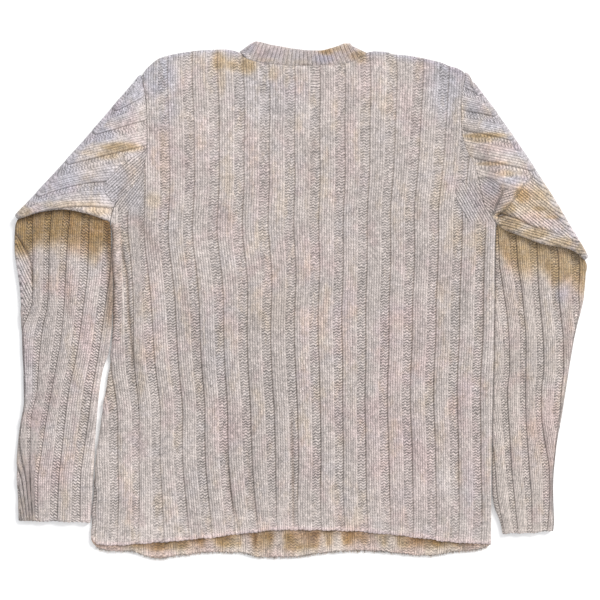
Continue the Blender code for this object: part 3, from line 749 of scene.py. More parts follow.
LEFT = Sleeve(-1, SLEEVE_LEFT, FOLD_LEFT, ARCH_LEFT, 15.0, LEFT_UPPER_RIBS, LEFT_LOWER_RIBS,
              6, LEFT_UPPER_CREASES, LEFT_LOWER_CREASES, LEFT_PLAINS, LEFT_UNDER_PLAINS,
              LEFT_UPPER_WARM, LEFT_COOL, LEFT_ROSY, 1.0, 1.0)
RIGHT = Sleeve(1, SLEEVE_RIGHT, FOLD_RIGHT, ARCH_RIGHT, 11.0, RIGHT_UPPER_RIBS,
               RIGHT_LOWER_RIBS, 10, RIGHT_UPPER_CREASES, RIGHT_LOWER_CREASES, RIGHT_PLAINS, (),
               RIGHT_UPPER_WARM, RIGHT_COOL, RIGHT_ROSY, 0.1, 0.78)


def ring_layout():
    """Share across the sleeve, and turn about its edges in degrees, of a ring's points."""
    part = np.linspace(0, 1, EDGE_POINTS + 2)[1:-1]
    share = np.concatenate([np.linspace(0, 1, TOP_POINTS), np.ones(EDGE_POINTS),
                            np.linspace(1, 0, UNDER_POINTS), np.zeros(EDGE_POINTS + 1)])
    turn = np.concatenate([np.full(TOP_POINTS, 90.0), 90 - 180 * part,
                           np.full(UNDER_POINTS, -90.0), -90 + 180 * part, [90.0]])
    return share, np.radians(turn)


def fold_axis(fold):
    """Start, length and outward way of a sleeve's fold."""
    start, end = np.array(fold.shoulder), np.array(fold.underarm)
    axis = end - start
    outward = np.array([-axis[1], axis[0]]) / np.hypot(*axis)
    return start, axis, outward * np.sign(outward[0] * fold.shoulder[0])


def fold_line(fold, share):
    """Points of a sleeve's fold from the shoulder to the underarm, bowed outwards."""
    start, axis, outward = fold_axis(fold)
    share = np.asarray(share)[..., None]
    return start + axis * share + outward * fold.bow * 4 * share * (1 - share)


def upper_plan(kind, step, share):
    """The upper part in plan, from the armhole at step 0 to the fold at step 1."""
    ease = SEAM_GAP / 2 + 0.7 * share**6 + 0.2 * (1 - share) ** 3
    start = armhole(kind.side, share) + np.stack([kind.side * ease, 0 * ease], axis=-1)
    end = fold_line(kind.fold, share)
    plan = (1 - step) * start + step * end
    head = end[0] - start[0]
    lift = kind.side * np.array([-head[1], head[0]]) / np.hypot(*head)
    plan += lift * HEAD_SWELL * 4 * step * (1 - step) * bell(share, 0.06)[:, None]
    plan[..., 1] += read_table(kind.arch, "rise", step) * share**3
    return plan


def from_armhole(kind, x, y):
    """Distance from the seam of the sleeve's own armhole."""
    return path_distance(x, y, armhole(kind.side, np.linspace(0, 1, 60)))[0]


def fold_radius(share):
    """Radius of the fold across the sleeve: it lies flatter beside the shoulder."""
    return FOLD_RADIUS * (0.3 + 0.7 * smooth_step(share / 0.16))


def upper_rows(kind, share):
    """Rings of the upper part, which rises from the armhole on to the sleeve's lower part."""
    for step in np.linspace(0, 1, UPPER_ROWS + 1)[:-1]:
        plan = upper_plan(kind, step, share)
        distance = from_armhole(kind, plan[:, 0], plan[:, 1])
        rise = np.maximum(smooth_step((distance - 2) / SLEEVE_RISE[kind.side]), step**2)
        yield plan, SEAM_Z + 2 * fold_radius(share) * rise, (0.0, 0.0, 1.0)


def turned_rows(kind, share):
    """Rings round the fold, from facing up to facing down."""
    outward = fold_axis(kind.fold)[2]
    for angle in np.linspace(0, math.pi, TURN_ROWS + 1):
        out, up = math.sin(angle), math.cos(angle)
        yield (fold_line(kind.fold, share) + outward * FOLD_RADIUS * out,
               SEAM_Z + fold_radius(share) * (1 + up), (*(outward * out), up))


def lower_rows(kind, share):
    """Rings of the lower part, from the fold down to the cuff."""
    ends = np.array([(*kind.fold.shoulder, *kind.fold.underarm, 0.0)]
                    + [(*station, HALF_GAP + WALL / 2) for station in kind.stations])
    reached = length_at((ends[:, 0:2] + ends[:, 2:4]) / 2)
    for at in np.linspace(0, reached[-1], LOWER_ROWS + 1)[1:]:
        end = np.array([float(smooth_curve(reached, ends[:, index], at)) for index in range(5)])
        start, stop, inset = end[0:2], end[2:4], end[4]
        way = (stop - start) / np.hypot(*(stop - start))
        start, stop = start + way * inset, stop - way * inset
        plan = start + (stop - start) * share[:, None]
        yield plan, np.full(len(share), SEAM_Z), (0.0, 0.0, -1.0)


def sleeve_rows(kind, share):
    """For each ring its plan, height and the way its upper layer faces."""
    rows = [*upper_rows(kind, share), *turned_rows(kind, share), *lower_rows(kind, share)]
    return tuple(np.array(part) for part in zip(*rows))


def sleeve_ribs(kind, plans, share):
    """Rib numbers round each ring: by shares above, by the lower part's own marks below."""
    rows = len(plans)
    steps = np.clip(np.arange(rows) / UPPER_ROWS, 0, 1)[:, None]
    at_seam, at_fold = kind.upper_ribs
    marks = [a + (b - a) * steps for a, b in zip(at_seam, at_fold)]
    above = number_between(np.repeat(share[None, :], rows, axis=0), marks)
    heights = [row.height for row in kind.lower_ribs]
    x, y = plans[..., 0], plans[..., 1]
    marks = [smooth_curve(heights, [row.marks[index] for row in kind.lower_ribs], y)
             for index in range(len(kind.lower_ribs[0].marks))]
    across = number_between(x, marks)
    across[:FOLD_ROW + 1] = across[FOLD_ROW + 1]
    below = kind.under_number - kind.side * across
    part = np.linspace(0, 1, EDGE_POINTS + 2)[1:-1]
    ribs = above.copy()
    edge = TOP_POINTS + EDGE_POINTS
    ribs[:, edge:edge + UNDER_POINTS] = below[:, edge:edge + UNDER_POINTS]
    top_end, under_end = above[:, TOP_POINTS - 1, None], below[:, edge, None]
    ribs[:, TOP_POINTS:edge] = top_end + (under_end - top_end) * part
    last = edge + UNDER_POINTS
    ribs[:, last:] = ribs[:, last - 1, None] + 0.2 * np.concatenate([part, [1.0]])
    return ribs


def sleeve_courses(kind, plans, ribs):
    """Rows of stitches: outwards on the upper part, and on down the lower part."""
    rows = np.arange(len(plans))[:, None]
    angle = math.radians(kind.way)
    along = plans[..., 0] * kind.side * math.cos(angle) - plans[..., 1] * math.sin(angle)
    join = along[FOLD_ROW] + plans[FOLD_ROW, :, 1]
    share = smooth_step((rows - FOLD_ROW) / 24.0)
    lower = join * (1 - share) + join.mean() * share - plans[..., 1]
    turn = math.pi * FOLD_RADIUS * np.clip((rows - UPPER_ROWS) / TURN_ROWS, 0, 1)
    slant = 0.3 * WALES * ribs * np.clip(1 - rows / UPPER_ROWS, 0, 1)
    return (np.where(rows <= FOLD_ROW, along, lower) + turn) / COURSE + slant


def pleat_end(x, y):
    """The small deep place where the pleat's edge and its crease meet."""
    return bell(np.hypot(x - PLEAT_MOUTH[0], y - PLEAT_MOUTH[1]), 4.0)


def pleat_relief(x, y):
    """The pleat stands up at its free edge, and its lower side dips behind a rolled band."""
    rim, _ = path_distance(x, y, PLEAT_RIM)
    crease, reached = path_distance(x, y, PLEAT_CREASE)
    below, _ = path_distance(x, y, HEM_OF_FOLD)
    lifted = np.where(inside(x, y, PLEAT), 0.25 * np.exp(-(rim / 34.0)), 0.0)
    lifted -= 3.4 * bell(crease, 2.3) * smooth_step(1.1 - reached)
    return lifted + 1.5 * bell(below, 3.6) - 2.4 * pleat_end(x, y)


def pleat_marks(x, y):
    """Painted shade in the mouth of the pleat, and painted light on its cloth and along its free
    edge.
    """
    crease, reached = path_distance(x, y, PLEAT_CREASE)
    mouth = 1.3 * bell(crease, 2.3) * smooth_step((0.95 - reached) / 0.5) + pleat_end(x, y)
    pleat_highlight = 1.2 * bell(path_distance(x, y, PLEAT_RIM)[0] - 1.0, 3.0)
    return mouth, np.maximum(pleat_highlight, 0.7 * inside(x, y, PLEAT))


def under_edge_height(kind, x):
    """Height on the table of the upper part's free edge, at places across it."""
    edge = [upper_plan(kind, step, np.array([0.0, 1.0]))[1] for step in np.linspace(0, 1, 33)]
    return np.interp(x * kind.side, [point[0] * kind.side for point in edge],
                     [point[1] for point in edge])


def sleeve_plain(kind, x, y, upper, lower):
    """Where the sleeve is plain knitting, above and below, and its stitch numbers there."""
    above, below = (plain_stitches(x, y, kind.plains), plain_stitches(x, y, kind.under_plains))
    covered = (above[0] & upper) | (below[0] & lower)
    return (covered, np.where(upper, above[1], below[1]), np.where(upper, above[2], below[2]))


def ring_facing(plans, normals, share, turn):
    """The way out of the cloth at each point of each ring."""
    ways = plans[:, TOP_POINTS - 1] - plans[:, TOP_POINTS - 5]
    other = plans[:, 0] - plans[:, 4]
    ways = np.where((share > 0.5)[None, :, None], ways[:, None, :], other[:, None, :])
    ways = ways / np.linalg.norm(ways, axis=-1, keepdims=True)
    ways = np.concatenate([ways, np.zeros(ways.shape[:2] + (1,))], axis=-1)
    turn = turn[None, :, None]
    return ways * np.cos(turn) + normals[:, None, :] * np.sin(turn)


# For each point of a sleeve its place, its ring, whether it faces out or in, how far it is
# below the upper part's free edge and from the cuff, and how the cloth is creased there
Rings = namedtuple("Rings", "x y share rows outer inner below cuff upper_folds lower_folds")


def sleeve_relief(kind, at, ribs, plain):
    """Heights of the ribs, folds and pleats on a sleeve's cloth."""
    level = at.outer * smooth_step((UPPER_ROWS + 7 - at.rows) / 7)
    top = level * smooth_step((from_armhole(kind, at.x, at.y) - 1) / 5)
    top = top * (0.25 + 0.75 * smooth_step(at.share / 0.16))
    under = at.inner * smooth_step((at.below + 3) / 9) * smooth_step((at.rows - FOLD_ROW) / 4)
    ribbing = rib_relief(ribs, -1, 1.3) * top + rib_relief(ribs, -kind.side, 0.6, 1.35) * under
    relief = np.where(plain, RIB_MEAN * level, ribbing + RIB_MEAN * (level - top))
    relief += top * at.upper_folds + under * at.lower_folds
    puff = 1.6 * smooth_step((at.below - 2) / 30) * smooth_step((at.y + 330) / 120)
    puff = puff * 4 * at.share * (1 - at.share)
    relief += under * (puff + 0.5 * wander(31, at.x, at.y, 90))
    if kind.side > 0:
        relief += pleat_relief(at.x, at.y) * at.outer * (at.rows < UPPER_ROWS)
    return relief + 0.5 * bell(at.cuff - 4, 4.0) * at.inner


def sleeve_tints(kind, at, plain):
    """Masks for the wool of a sleeve."""
    # Painted shade in the pleat's mouth and painted light on the pleat
    mouth, pleat_highlight = 0, 0
    if kind.side > 0:
        mouth, pleat_highlight = (marks * at.outer for marks in pleat_marks(at.x, at.y))
    lower = at.inner * (at.rows > FOLD_ROW) > 0
    # An ochre tint below the upper part's free edge, partly painted shadow, and painted brown
    # shade under that edge, in the creases and, on the left, beside the body
    shadow_ochre = smooth_step((74 + 14 * wander(51, at.x, 0.3 * at.y, 50) - at.below) / 46)
    shadow_ochre = shadow_ochre * kind.under_warm
    lower_shade = kind.under_shade * (bell(at.below + 1, 9.0) + 0.4 * shadow_ochre)
    lower_shade += np.clip(-at.lower_folds / 2.2, 0, 1)
    if kind.side < 0:
        lower_shade += 1.4 * smooth_step(1 - at.share / 0.07) * smooth_step((at.y + 70) / 60)
    # Painted shade in the upper part's creases and in the pleat's mouth
    shade = np.where(lower, lower_shade, np.clip(-at.upper_folds / 2.2, 0, 1) * at.outer + mouth)
    # Painted shade, cooler, on the rounding towards the fold
    rim = at.outer * smooth_step((at.rows - UPPER_ROWS + 5) / 6) * (at.rows <= FOLD_ROW)
    # Ochre patches, warmer where the pleat is painted light
    warm = patch_cover(at.x, at.y, kind.warm) * at.outer + 0.15 * pleat_highlight
    felt = at.outer * (at.rows < FOLD_ROW) * (0.8 + 0.3 * bell(at.share, 0.12))
    return {"shade": shade + 0.3 * rim, "warm": np.where(lower, shadow_ochre, warm),
            "cool": patch_cover(at.x, at.y, kind.cool) + rim,
            "rosy": patch_cover(at.x, at.y, kind.rosy),
            "worn": bell(at.cuff - 1, 4.0) + 0.9 * pleat_highlight, "felt": np.where(plain, 0.0, felt)}


def sleeve_piece(kind, name, material):
    """A sleeve as one tube: outwards from the armhole, over its fold, and down to the cuff."""
    share, turn = ring_layout()
    plans, heights, normals = sleeve_rows(kind, share)
    ribs = sleeve_ribs(kind, plans, share)
    x, y = plans[..., 0], plans[..., 1]
    rows = np.arange(len(plans))[:, None]
    at = Rings(x, y, share, rows,
               outer=np.clip(np.sin(turn), 0, 1)[None, :],
               inner=np.clip(-np.sin(turn), 0, 1)[None, :],
               below=under_edge_height(kind, x) - y,
               cuff=(len(plans) - 1 - rows) * LOWER_STEP + 0 * x,
               upper_folds=crease_relief(x, y, kind.upper_creases),
               lower_folds=crease_relief(x, y, kind.lower_creases))
    plain = sleeve_plain(kind, x, y, (rows < UPPER_ROWS + 4) & (at.outer > 0.5),
                         (rows > FOLD_ROW) & (at.inner > 0.5))
    relief = sleeve_relief(kind, at, ribs, plain[0])
    places = np.concatenate([plans, heights[..., None]], axis=-1)
    places = places + ring_facing(plans, normals, share, turn) * (HALF_GAP + relief[..., None])
    places[..., 1] += edge_scallop(ribs, x, at.cuff, 3 + kind.side)
    places[:, -1] = places[:, 0]
    piece = laid_grid(name, places.shape[1] - 1, places.shape[0] - 1)
    lean = np.where((np.sin(turn) > 0)[None, :], -1.0, -kind.side) + 0 * x
    lay_cloth(piece, places, ribs * WALES, sleeve_courses(kind, plans, ribs), plain, lean=lean,
              **sleeve_tints(kind, at, plain[0]))
    return finish_cloth(piece, WALL, material, joined=True)


# ---------------------------------------------------------------- neckband
BAND_WALL = 2.4
BAND_HEIGHT = 21.0
BAND_COURSE = 3.2
BAND_LEAN = 42.0         # degrees by which its lines lean at the ends of the back neck
BAND_LINES, BAND_ROWS = 760, 11
BAND_PITCH = 5.5         # width of one fine rib
BAND_FOLDS = (Fold((-82.5, 340.2), (-64.0, 353.8), 0.0), Fold((91.5, 338.4), (66.0, 350.6), 0.0))
BAND_TOP = table(Edge,
    (-70, 353.6), (-59, 353.6), (-48, 351.3), (-38, 348.8), (-27, 347), (-16, 344.9), (-4, 343.2),
    (14, 341.4), (27, 341.2), (42.5, 344.6), (53.4, 348), (60.3, 351), (70, 350.8))
BAND_WARM = table(Patch,
    (36, 341, 13, 8, 0.8), (50, 344, 10, 6, 0.6), (80, 334, 16, 9, 0.7), (62, 344, 10, 9, 0.4),
    (2, 326, 14, 4, 0.3), (-46, 328, 18, 4, 0.35))
BAND_COOL = table(Patch, (32, 330, 16, 7, 0.9), (-72, 346, 12, 12, 0.8), (-20, 336, 26, 10, 0.3))
BAND_TUCK = table(Patch, (6, 321.6, 12, 1.6, 1), (-30, 323, 4, 1.6, 0.6))
# Painted light over the shade where the band's left end meets the shoulder
BAND_END_LIGHT = table(Patch, (-74, 333, 9, 7, 1))
BAND_ROSY = table(Patch, (66, 338, 16, 12, 0.6), (-40, 340, 26, 10, 0.6), (10, 334, 12, 8, 0.3))


def band_half(spots, level, top=None):
    """Lines of a flat half of the band, each from its seam to its free edge."""
    lines = []
    for (x, y), (way_x, way_y) in spots:
        free_x, free_y = x + way_x * BAND_HEIGHT, y + way_y * BAND_HEIGHT
        if top:
            free_y = float(read_table(top, "height", free_x))
        lines.append((x, y, free_x, free_y, level))
    return lines


def band_fold(fold, side):
    """Lines of the band round its fold, from the back's level down to the front's."""
    seam, free = np.array(fold.shoulder), np.array(fold.underarm)
    away = (free - seam) / np.hypot(*(free - seam))
    outward = np.array([side * abs(away[1]), abs(away[0])])
    lines = []
    for turn in np.radians(np.linspace(30, 150, 9)):
        shift = outward * (HALF_GAP * math.sin(turn) - HALF_GAP - BAND_WALL / 2)
        z = SEAM_Z + HALF_GAP * math.cos(turn)
        lines.append((*(seam + shift), *(free + shift), z))
    return lines


def band_lines():
    """Lines across the band all the way round the neck, the first of them again at the end."""
    back = []
    for x in np.linspace(NECK_LEFT + 11, NECK_RIGHT - 11, 40):
        lean = math.radians(BAND_LEAN * (x - NECK_CENTRE[0]) / (NECK_RIGHT - NECK_CENTRE[0]))
        y = float(read_table(BACK_TOP, "height", x)) - SEAM_GAP / 2
        back.append(((x, y), (-math.sin(lean), math.cos(lean))))
    front = []
    corners = [row for row in FRONT_TOP if NECK_LEFT < row.across < NECK_RIGHT][::-1]
    for x in np.linspace(corners[0].across, corners[-1].across, 60):
        y = float(read_table(FRONT_TOP, "height", x))
        way = np.array(NECK_CENTRE) - (x, y)
        way = way / np.hypot(*way)
        front.append(((x + way[0] * SEAM_GAP, y + way[1] * SEAM_GAP), tuple(way)))
    lines = band_half(back, BACK_Z, BAND_TOP) + band_fold(BAND_FOLDS[1], 1)
    lines += band_half(front, FRONT_Z)
    lines += band_fold(BAND_FOLDS[0], -1)[::-1]
    return np.array(lines + lines[:1])


def neckband_piece(material):
    """The neckband in fine rib: one loop, on the back's level behind and the front's before."""
    lines = band_lines()
    middles = np.concatenate([(lines[:, 0:2] + lines[:, 2:4]) / 2, lines[:, 4:5]], axis=1)
    reached = length_at(middles)
    at = np.linspace(0, reached[-1], BAND_LINES + 1)
    fine = np.stack([np.interp(at, reached, lines[:, index]) for index in range(5)], axis=1)
    depth = np.linspace(0, 1, BAND_ROWS)[:, None]
    x = fine[:, 0] + (fine[:, 2] - fine[:, 0]) * depth
    y = fine[:, 1] + (fine[:, 3] - fine[:, 1]) * depth
    z = fine[:, 4] + 0 * x
    count = round(reached[-1] / BAND_PITCH)
    ribs = np.repeat((at / reached[-1] * count)[None, :], BAND_ROWS, axis=0)
    upper = smooth_step((z - SEAM_Z) / 1.5)
    ends = smooth_step(depth / 0.12) * (0.6 + 0.4 * smooth_step((1 - depth) / 0.2))
    relief = 0.45 * np.cos(math.tau * (ribs - 0.5)) * ends * upper
    relief += upper * 0.5 * bell(depth - 1, 0.10)
    places = np.stack([x, y, z + relief], axis=-1)
    places[:, -1] = places[:, 0]
    piece = laid_grid("neckband_rib", BAND_LINES, BAND_ROWS - 1)
    # Painted shade in the furrows between the fine ribs, darker along short stretches of the seam,
    # lighter along the free edge, and painted light on the band's left end
    furrow = 0.34 * (0.5 - 0.5 * np.cos(math.tau * (ribs - 0.5))) * ends
    lay_cloth(piece, places, ribs * 2, depth * BAND_HEIGHT / BAND_COURSE + 0 * ribs,
              shade=furrow + 0.9 * patch_cover(x, y, BAND_TUCK), warm=patch_cover(x, y, BAND_WARM),
              cool=patch_cover(x, y, BAND_COOL), rosy=patch_cover(x, y, BAND_ROSY),
              worn=0.6 * bell(depth - 1, 0.2) + patch_cover(x, y, BAND_END_LIGHT), felt=0.5 + 0 * x)
    return finish_cloth(piece, BAND_WALL, material, joined=True)


# ---------------------------------------------------------------- wool
def set_inputs(node, values):
    """Settings of a node's inputs, by name."""
    for name, value in values.items():
        node.inputs[name].default_value = value


class Wiring:
    """Places shader nodes in one tree and joins them, value by value."""

    def __init__(self, tree):
        self.tree = tree

    def place(self, kind, **settings):
        made = self.tree.nodes.new(kind)
        for name, value in settings.items():
            setattr(made, name, value)
        return made

    def feed(self, socket, value):
        if isinstance(value, bpy.types.NodeSocket):
            self.tree.links.new(value, socket)
        else:
            socket.default_value = value

    def math(self, operation, *values):
        made = self.place("ShaderNodeMath", operation=operation)
        for socket, value in zip(made.inputs, values):
            self.feed(socket, value)
        return made.outputs[0]

    def add(self, first, second):
        return self.math("ADD", first, second)

    def times(self, first, second):
        return self.math("MULTIPLY", first, second)

    def scaled(self, value, factor, start):
        """The value times a factor, added to a start."""
        return self.math("MULTIPLY_ADD", value, factor, start)

    def wave(self, turns):
        """From 0 to 1 and back, once for each whole number of turns; 1 at whole numbers."""
        return self.scaled(self.math("COSINE", self.times(turns, math.tau)), 0.5, 0.5)

    def centred(self, value):
        return self.math("SUBTRACT", value, 0.5)

    def line(self, value, at, width):
        """1 where the value is at its place, and 0 from the given width away."""
        away = self.math("ABSOLUTE", self.math("SUBTRACT", value, at))
        return self.ease(away, 0.0, width, 1.0, 0.0)

    def mask(self, name):
        """What the mesh says for each point under this name, or 0."""
        return self.place("ShaderNodeAttribute", attribute_name=name).outputs["Fac"]

    def tint(self, colour, cover, tint):
        """The colour multiplied by a tint, where the tint covers it."""
        made = self.place("ShaderNodeMix", data_type="RGBA", blend_type="MULTIPLY")
        for index, value in ((0, self.math("MINIMUM", cover, 1.0)), (6, colour), (7, tint)):
            self.feed(made.inputs[index], value)
        return made.outputs[2]

    def ease(self, value, low, high, start=0.0, end=1.0):
        made = self.place("ShaderNodeMapRange", interpolation_type="SMOOTHSTEP")
        for socket, setting in zip(made.inputs, (value, low, high, start, end)):
            self.feed(socket, setting)
        return made.outputs[0]

    def noise(self, vector, scale, detail=2.0, roughness=0.5, stretch=None):
        if stretch:
            made = self.place("ShaderNodeVectorMath", operation="MULTIPLY")
            self.feed(made.inputs[0], vector)
            made.inputs[1].default_value = stretch
            vector = made.outputs[0]
        made = self.place("ShaderNodeTexNoise")
        self.feed(made.inputs["Vector"], vector)
        set_inputs(made, {"Scale": scale, "Detail": detail, "Roughness": roughness})
        return made.outputs[0]

    def between(self, share, first, second):
        made = self.place("ShaderNodeMix", data_type="FLOAT")
        for index, value in ((0, share), (2, first), (3, second)):
            self.feed(made.inputs[index], value)
        return made.outputs[0]


SOCKETS = {"Stitches": "Vector", "Place": "Vector", "Wool": "Color", "Color": "Color"}


def shader_group(name, inputs, outputs):
    """An empty shader group with its sockets, and the wiring to fill it with."""
    group = bpy.data.node_groups.new(name, "ShaderNodeTree")
    for way, labels in (("INPUT", inputs), ("OUTPUT", outputs)):
        for label in labels.split():
            kind = "NodeSocket" + SOCKETS.get(label, "Float")
            group.interface.new_socket(label, in_out=way, socket_type=kind)
    wiring = Wiring(group)
    entry = wiring.place("NodeGroupInput").outputs
    leave = wiring.place("NodeGroupOutput").inputs
    return group, wiring, entry, leave


def knit_group():
    """Stitches of ribbed knitting from stitch numbers: V-shaped plain ones, wavy purl rows.

    Lean is the side on which a purl band dips into its groove: 1, -1, or 0 for no groove.
    """
    group, w, entry, leave = shader_group(
        "knit_stitches", "Stitches Place Repeat Purls Level Lean",
        "Height Gap Purl Groove Crest Stitch")
    # Columns across and rows along, a little uneven as hand knitting is
    apart = w.place("ShaderNodeSeparateXYZ")
    w.feed(apart.inputs[0], entry["Stitches"])
    slack = w.centred(w.noise(entry["Place"], 75.0, 1.0))
    tremble = w.centred(w.noise(entry["Place"], 420.0, 1.0, stretch=(1.0, 1.4, 1.0)))
    wale = w.scaled(tremble, 0.34, apart.outputs[0])
    course = w.scaled(slack, 1.2, apart.outputs[1])
    course = w.scaled(tremble, 0.8, course)
    half = w.times(entry["Purls"], 0.5)
    column = w.math("FLOORED_MODULO", w.add(wale, half), entry["Repeat"])
    across = w.math("FRACT", column)
    ribbed = w.math("LESS_THAN", apart.outputs[0], PLAIN_START - 50.0)
    purl = w.times(w.math("LESS_THAN", column, entry["Purls"]), ribbed)

    # A plain stitch is a V of two legs, a purl row one wave after another
    from_middle = w.math("ABSOLUTE", w.scaled(across, 2.0, -1.0))
    leg = w.math("SINE", w.times(from_middle, math.pi))
    loop = w.wave(w.scaled(from_middle, -0.45, course))
    plain = w.times(leg, w.scaled(loop, 0.45, 0.55))
    swing = w.math("PINGPONG", w.add(across, 0.25), 0.5)
    swing = w.times(w.centred(w.times(swing, 2.0)), w.scaled(entry["Level"], -0.6, 0.6))
    row = w.wave(w.add(course, swing))
    arch = w.scaled(w.math("SINE", w.times(across, math.pi)), 0.25, 0.75)
    height = w.between(purl, plain, w.times(w.math("POWER", row, 0.8), arch))
    # Painted shade between the legs and loops of plain stitches, and in the hollows of purl rows
    between_legs = w.ease(leg, 0.0, 0.85, w.between(ribbed, 0.96, 0.37), 0.0)
    between_loops = w.scaled(loop, -0.30, 0.30)
    deep = w.between(purl, w.add(between_legs, between_loops), w.ease(row, 0.05, 0.7, 0.95, 0.05))

    # The groove where a purl band dips under the next plain one, painted with shade, and the
    # crests beside it, painted with a highlight
    rib = w.math("DIVIDE", w.times(wale, entry["Lean"]), entry["Repeat"])
    phase = w.centred(w.math("FRACT", w.add(rib, 0.5)))
    groove = w.line(phase, GROOVE_AT, 0.055)
    crest = w.add(w.line(phase, -0.24, 0.05), w.times(w.line(phase, 0.27, 0.045), 0.6))
    leaning = w.times(w.math("ABSOLUTE", entry["Lean"]), ribbed)

    # A value of its own for each leg of each stitch
    cell = w.place("ShaderNodeCombineXYZ")
    w.feed(cell.inputs[0], w.math("FLOOR", w.times(wale, 2.0)))
    w.feed(cell.inputs[1], w.math("FLOOR", course))
    random = w.place("ShaderNodeTexWhiteNoise", noise_dimensions="2D")
    w.feed(random.inputs["Vector"], cell.outputs[0])
    w.feed(leave["Height"], height)
    w.feed(leave["Gap"], deep)
    w.feed(leave["Purl"], purl)
    w.feed(leave["Groove"], w.times(groove, leaning))
    w.feed(leave["Crest"], w.times(crest, leaning))
    w.feed(leave["Stitch"], random.outputs["Value"])
    return group


TINTS = {
    "Straw": (1.03, 0.94, 0.76, 1), "Ochre": (0.66, 0.55, 0.34, 1), "Cool": (0.87, 0.95, 1.10, 1),
    "Rosy": (1.02, 0.93, 0.955, 1), "ShadeBrown": (0.52, 0.43, 0.34, 1),
}


def yarn_group():
    """Heather wool: a marl of fibres and flecks, soft tints, painted shade between the stitches,
    and painted shade and light where the masks say.
    """
    group, w, entry, leave = shader_group(
        "wool_yarn",
        "Place Wool Gap Purl Groove Crest Stitch Warm Cool Rosy Shade Worn Felt", "Color Fibre")
    place = entry["Place"]
    # The spots and streaks of heather wool, from single fibres to wide clouds
    fibre = w.noise(place, 900.0, 3.0, 0.65)
    marl = w.noise(place, 330.0, 2.0, 0.6, (1.0, 0.55, 1.0))
    cloudy = w.noise(place, 11.0, 3.0, 0.6)
    streak = w.noise(place, 48.0, 2.0, 0.6, (1.0, 0.4, 1.0))
    pinkish = w.noise(place, 21.0, 3.0, 0.65, (1.1, 0.8, 1.0))
    greyish = w.noise(place, 27.0, 3.0, 0.65, (0.9, 1.2, 1.0))
    strawy = w.noise(place, 34.0, 3.0, 0.65, (1.3, 0.6, 1.0))
    colour = entry["Wool"]
    for cover, tint in (
            (w.add(w.ease(pinkish, 0.46, 0.66, 0.0, 0.7), entry["Rosy"]), "Rosy"),
            (w.add(w.ease(greyish, 0.50, 0.72, 0.0, 0.22), entry["Cool"]), "Cool"),
            (w.ease(strawy, 0.50, 0.70, 0.0, 0.45), "Straw")):
        colour = w.tint(colour, cover, TINTS[tint])
    # Tints where the masks say: straw and ochre, the ochre under the sleeves' folds partly painted
    # shadow, and brown for painted shade
    patchy = w.ease(w.noise(place, 110.0, 3.0, 0.6), 0.25, 0.6, 0.72, 1.0)
    colour = w.tint(colour, w.times(w.ease(entry["Warm"], 0.0, 0.65), patchy), TINTS["Straw"])
    colour = w.tint(colour, w.times(w.ease(entry["Warm"], 0.35, 1.0), patchy), TINTS["Ochre"])
    colour = w.tint(colour, w.times(entry["Shade"], 0.62), TINTS["ShadeBrown"])
    # Painted brown shade in the grooves, less where the wool is felted
    groove_shade = w.times(entry["Groove"], w.scaled(entry["Felt"], -0.4, 0.58))
    colour = w.tint(colour, groove_shade, TINTS["ShadeBrown"])

    # How light the yarn is: its marl, its stitches, and painted shade in the gaps between the
    # stitches, less where matted wool closes them
    marled = w.times(w.ease(marl, 0.28, 0.72, -0.15, 0.13),
                     w.scaled(entry["Felt"], 0.15, 1.0))
    tone = w.add(marled, w.ease(fibre, 0.22, 0.78, -0.18, 0.14))
    tone = w.add(tone, w.ease(cloudy, 0.30, 0.70, 0.95, 1.06))
    tone = w.add(tone, w.ease(streak, 0.28, 0.72, -0.06, 0.06))
    tone = w.scaled(w.centred(entry["Stitch"]), 0.31, tone)
    # Painted highlight along the crests beside the grooves
    tone = w.scaled(entry["Crest"], 0.03, tone)
    matted = w.ease(w.noise(place, 62.0, 2.0, 0.6, (1.0, 1.6, 1.0)), 0.38, 0.6)
    matted = w.times(matted, w.scaled(entry["Felt"], 0.25, 0.32))
    matted = w.scaled(entry["Felt"], 0.42, matted)
    gap = w.times(entry["Gap"], w.math("SUBTRACT", 1.0, matted))
    tone = w.times(tone, w.scaled(gap, -0.68, 1.0))
    tone = w.times(tone, w.scaled(entry["Purl"], 0.03, 1.0))
    # Lighter at the pale cast-on edges, the back's hem edge partly painted light, and painted
    # light on the pleat, the band's end and the loose fibres
    tone = w.times(tone, w.scaled(entry["Worn"], 0.34, 1.0))
    light = w.place("ShaderNodeCombineColor")
    for socket in light.inputs[:3]:
        w.feed(socket, tone)
    w.feed(leave["Color"], w.tint(colour, 1.0, light.outputs[0]))
    w.feed(leave["Fibre"], fibre)
    return group


Wool = namedtuple("Wool", "colour repeat purl_wales relief")
WOOLS = {
    "wool_back": Wool((0.606, 0.535, 0.503, 1), WALES, PURL_WALES, 1.3),
    "wool_front": Wool((0.575, 0.500, 0.448, 1), WALES, 3, 1.3),
    "wool_sleeve_left": Wool((0.632, 0.556, 0.526, 1), WALES, PURL_WALES, 1.3),
    "wool_sleeve_right": Wool((0.646, 0.565, 0.520, 1), WALES, PURL_WALES, 1.3),
    "wool_neckband": Wool((0.600, 0.534, 0.515, 1), 2, 1, 1.0),
}
PRINCIPLED = "Principled BSDF"


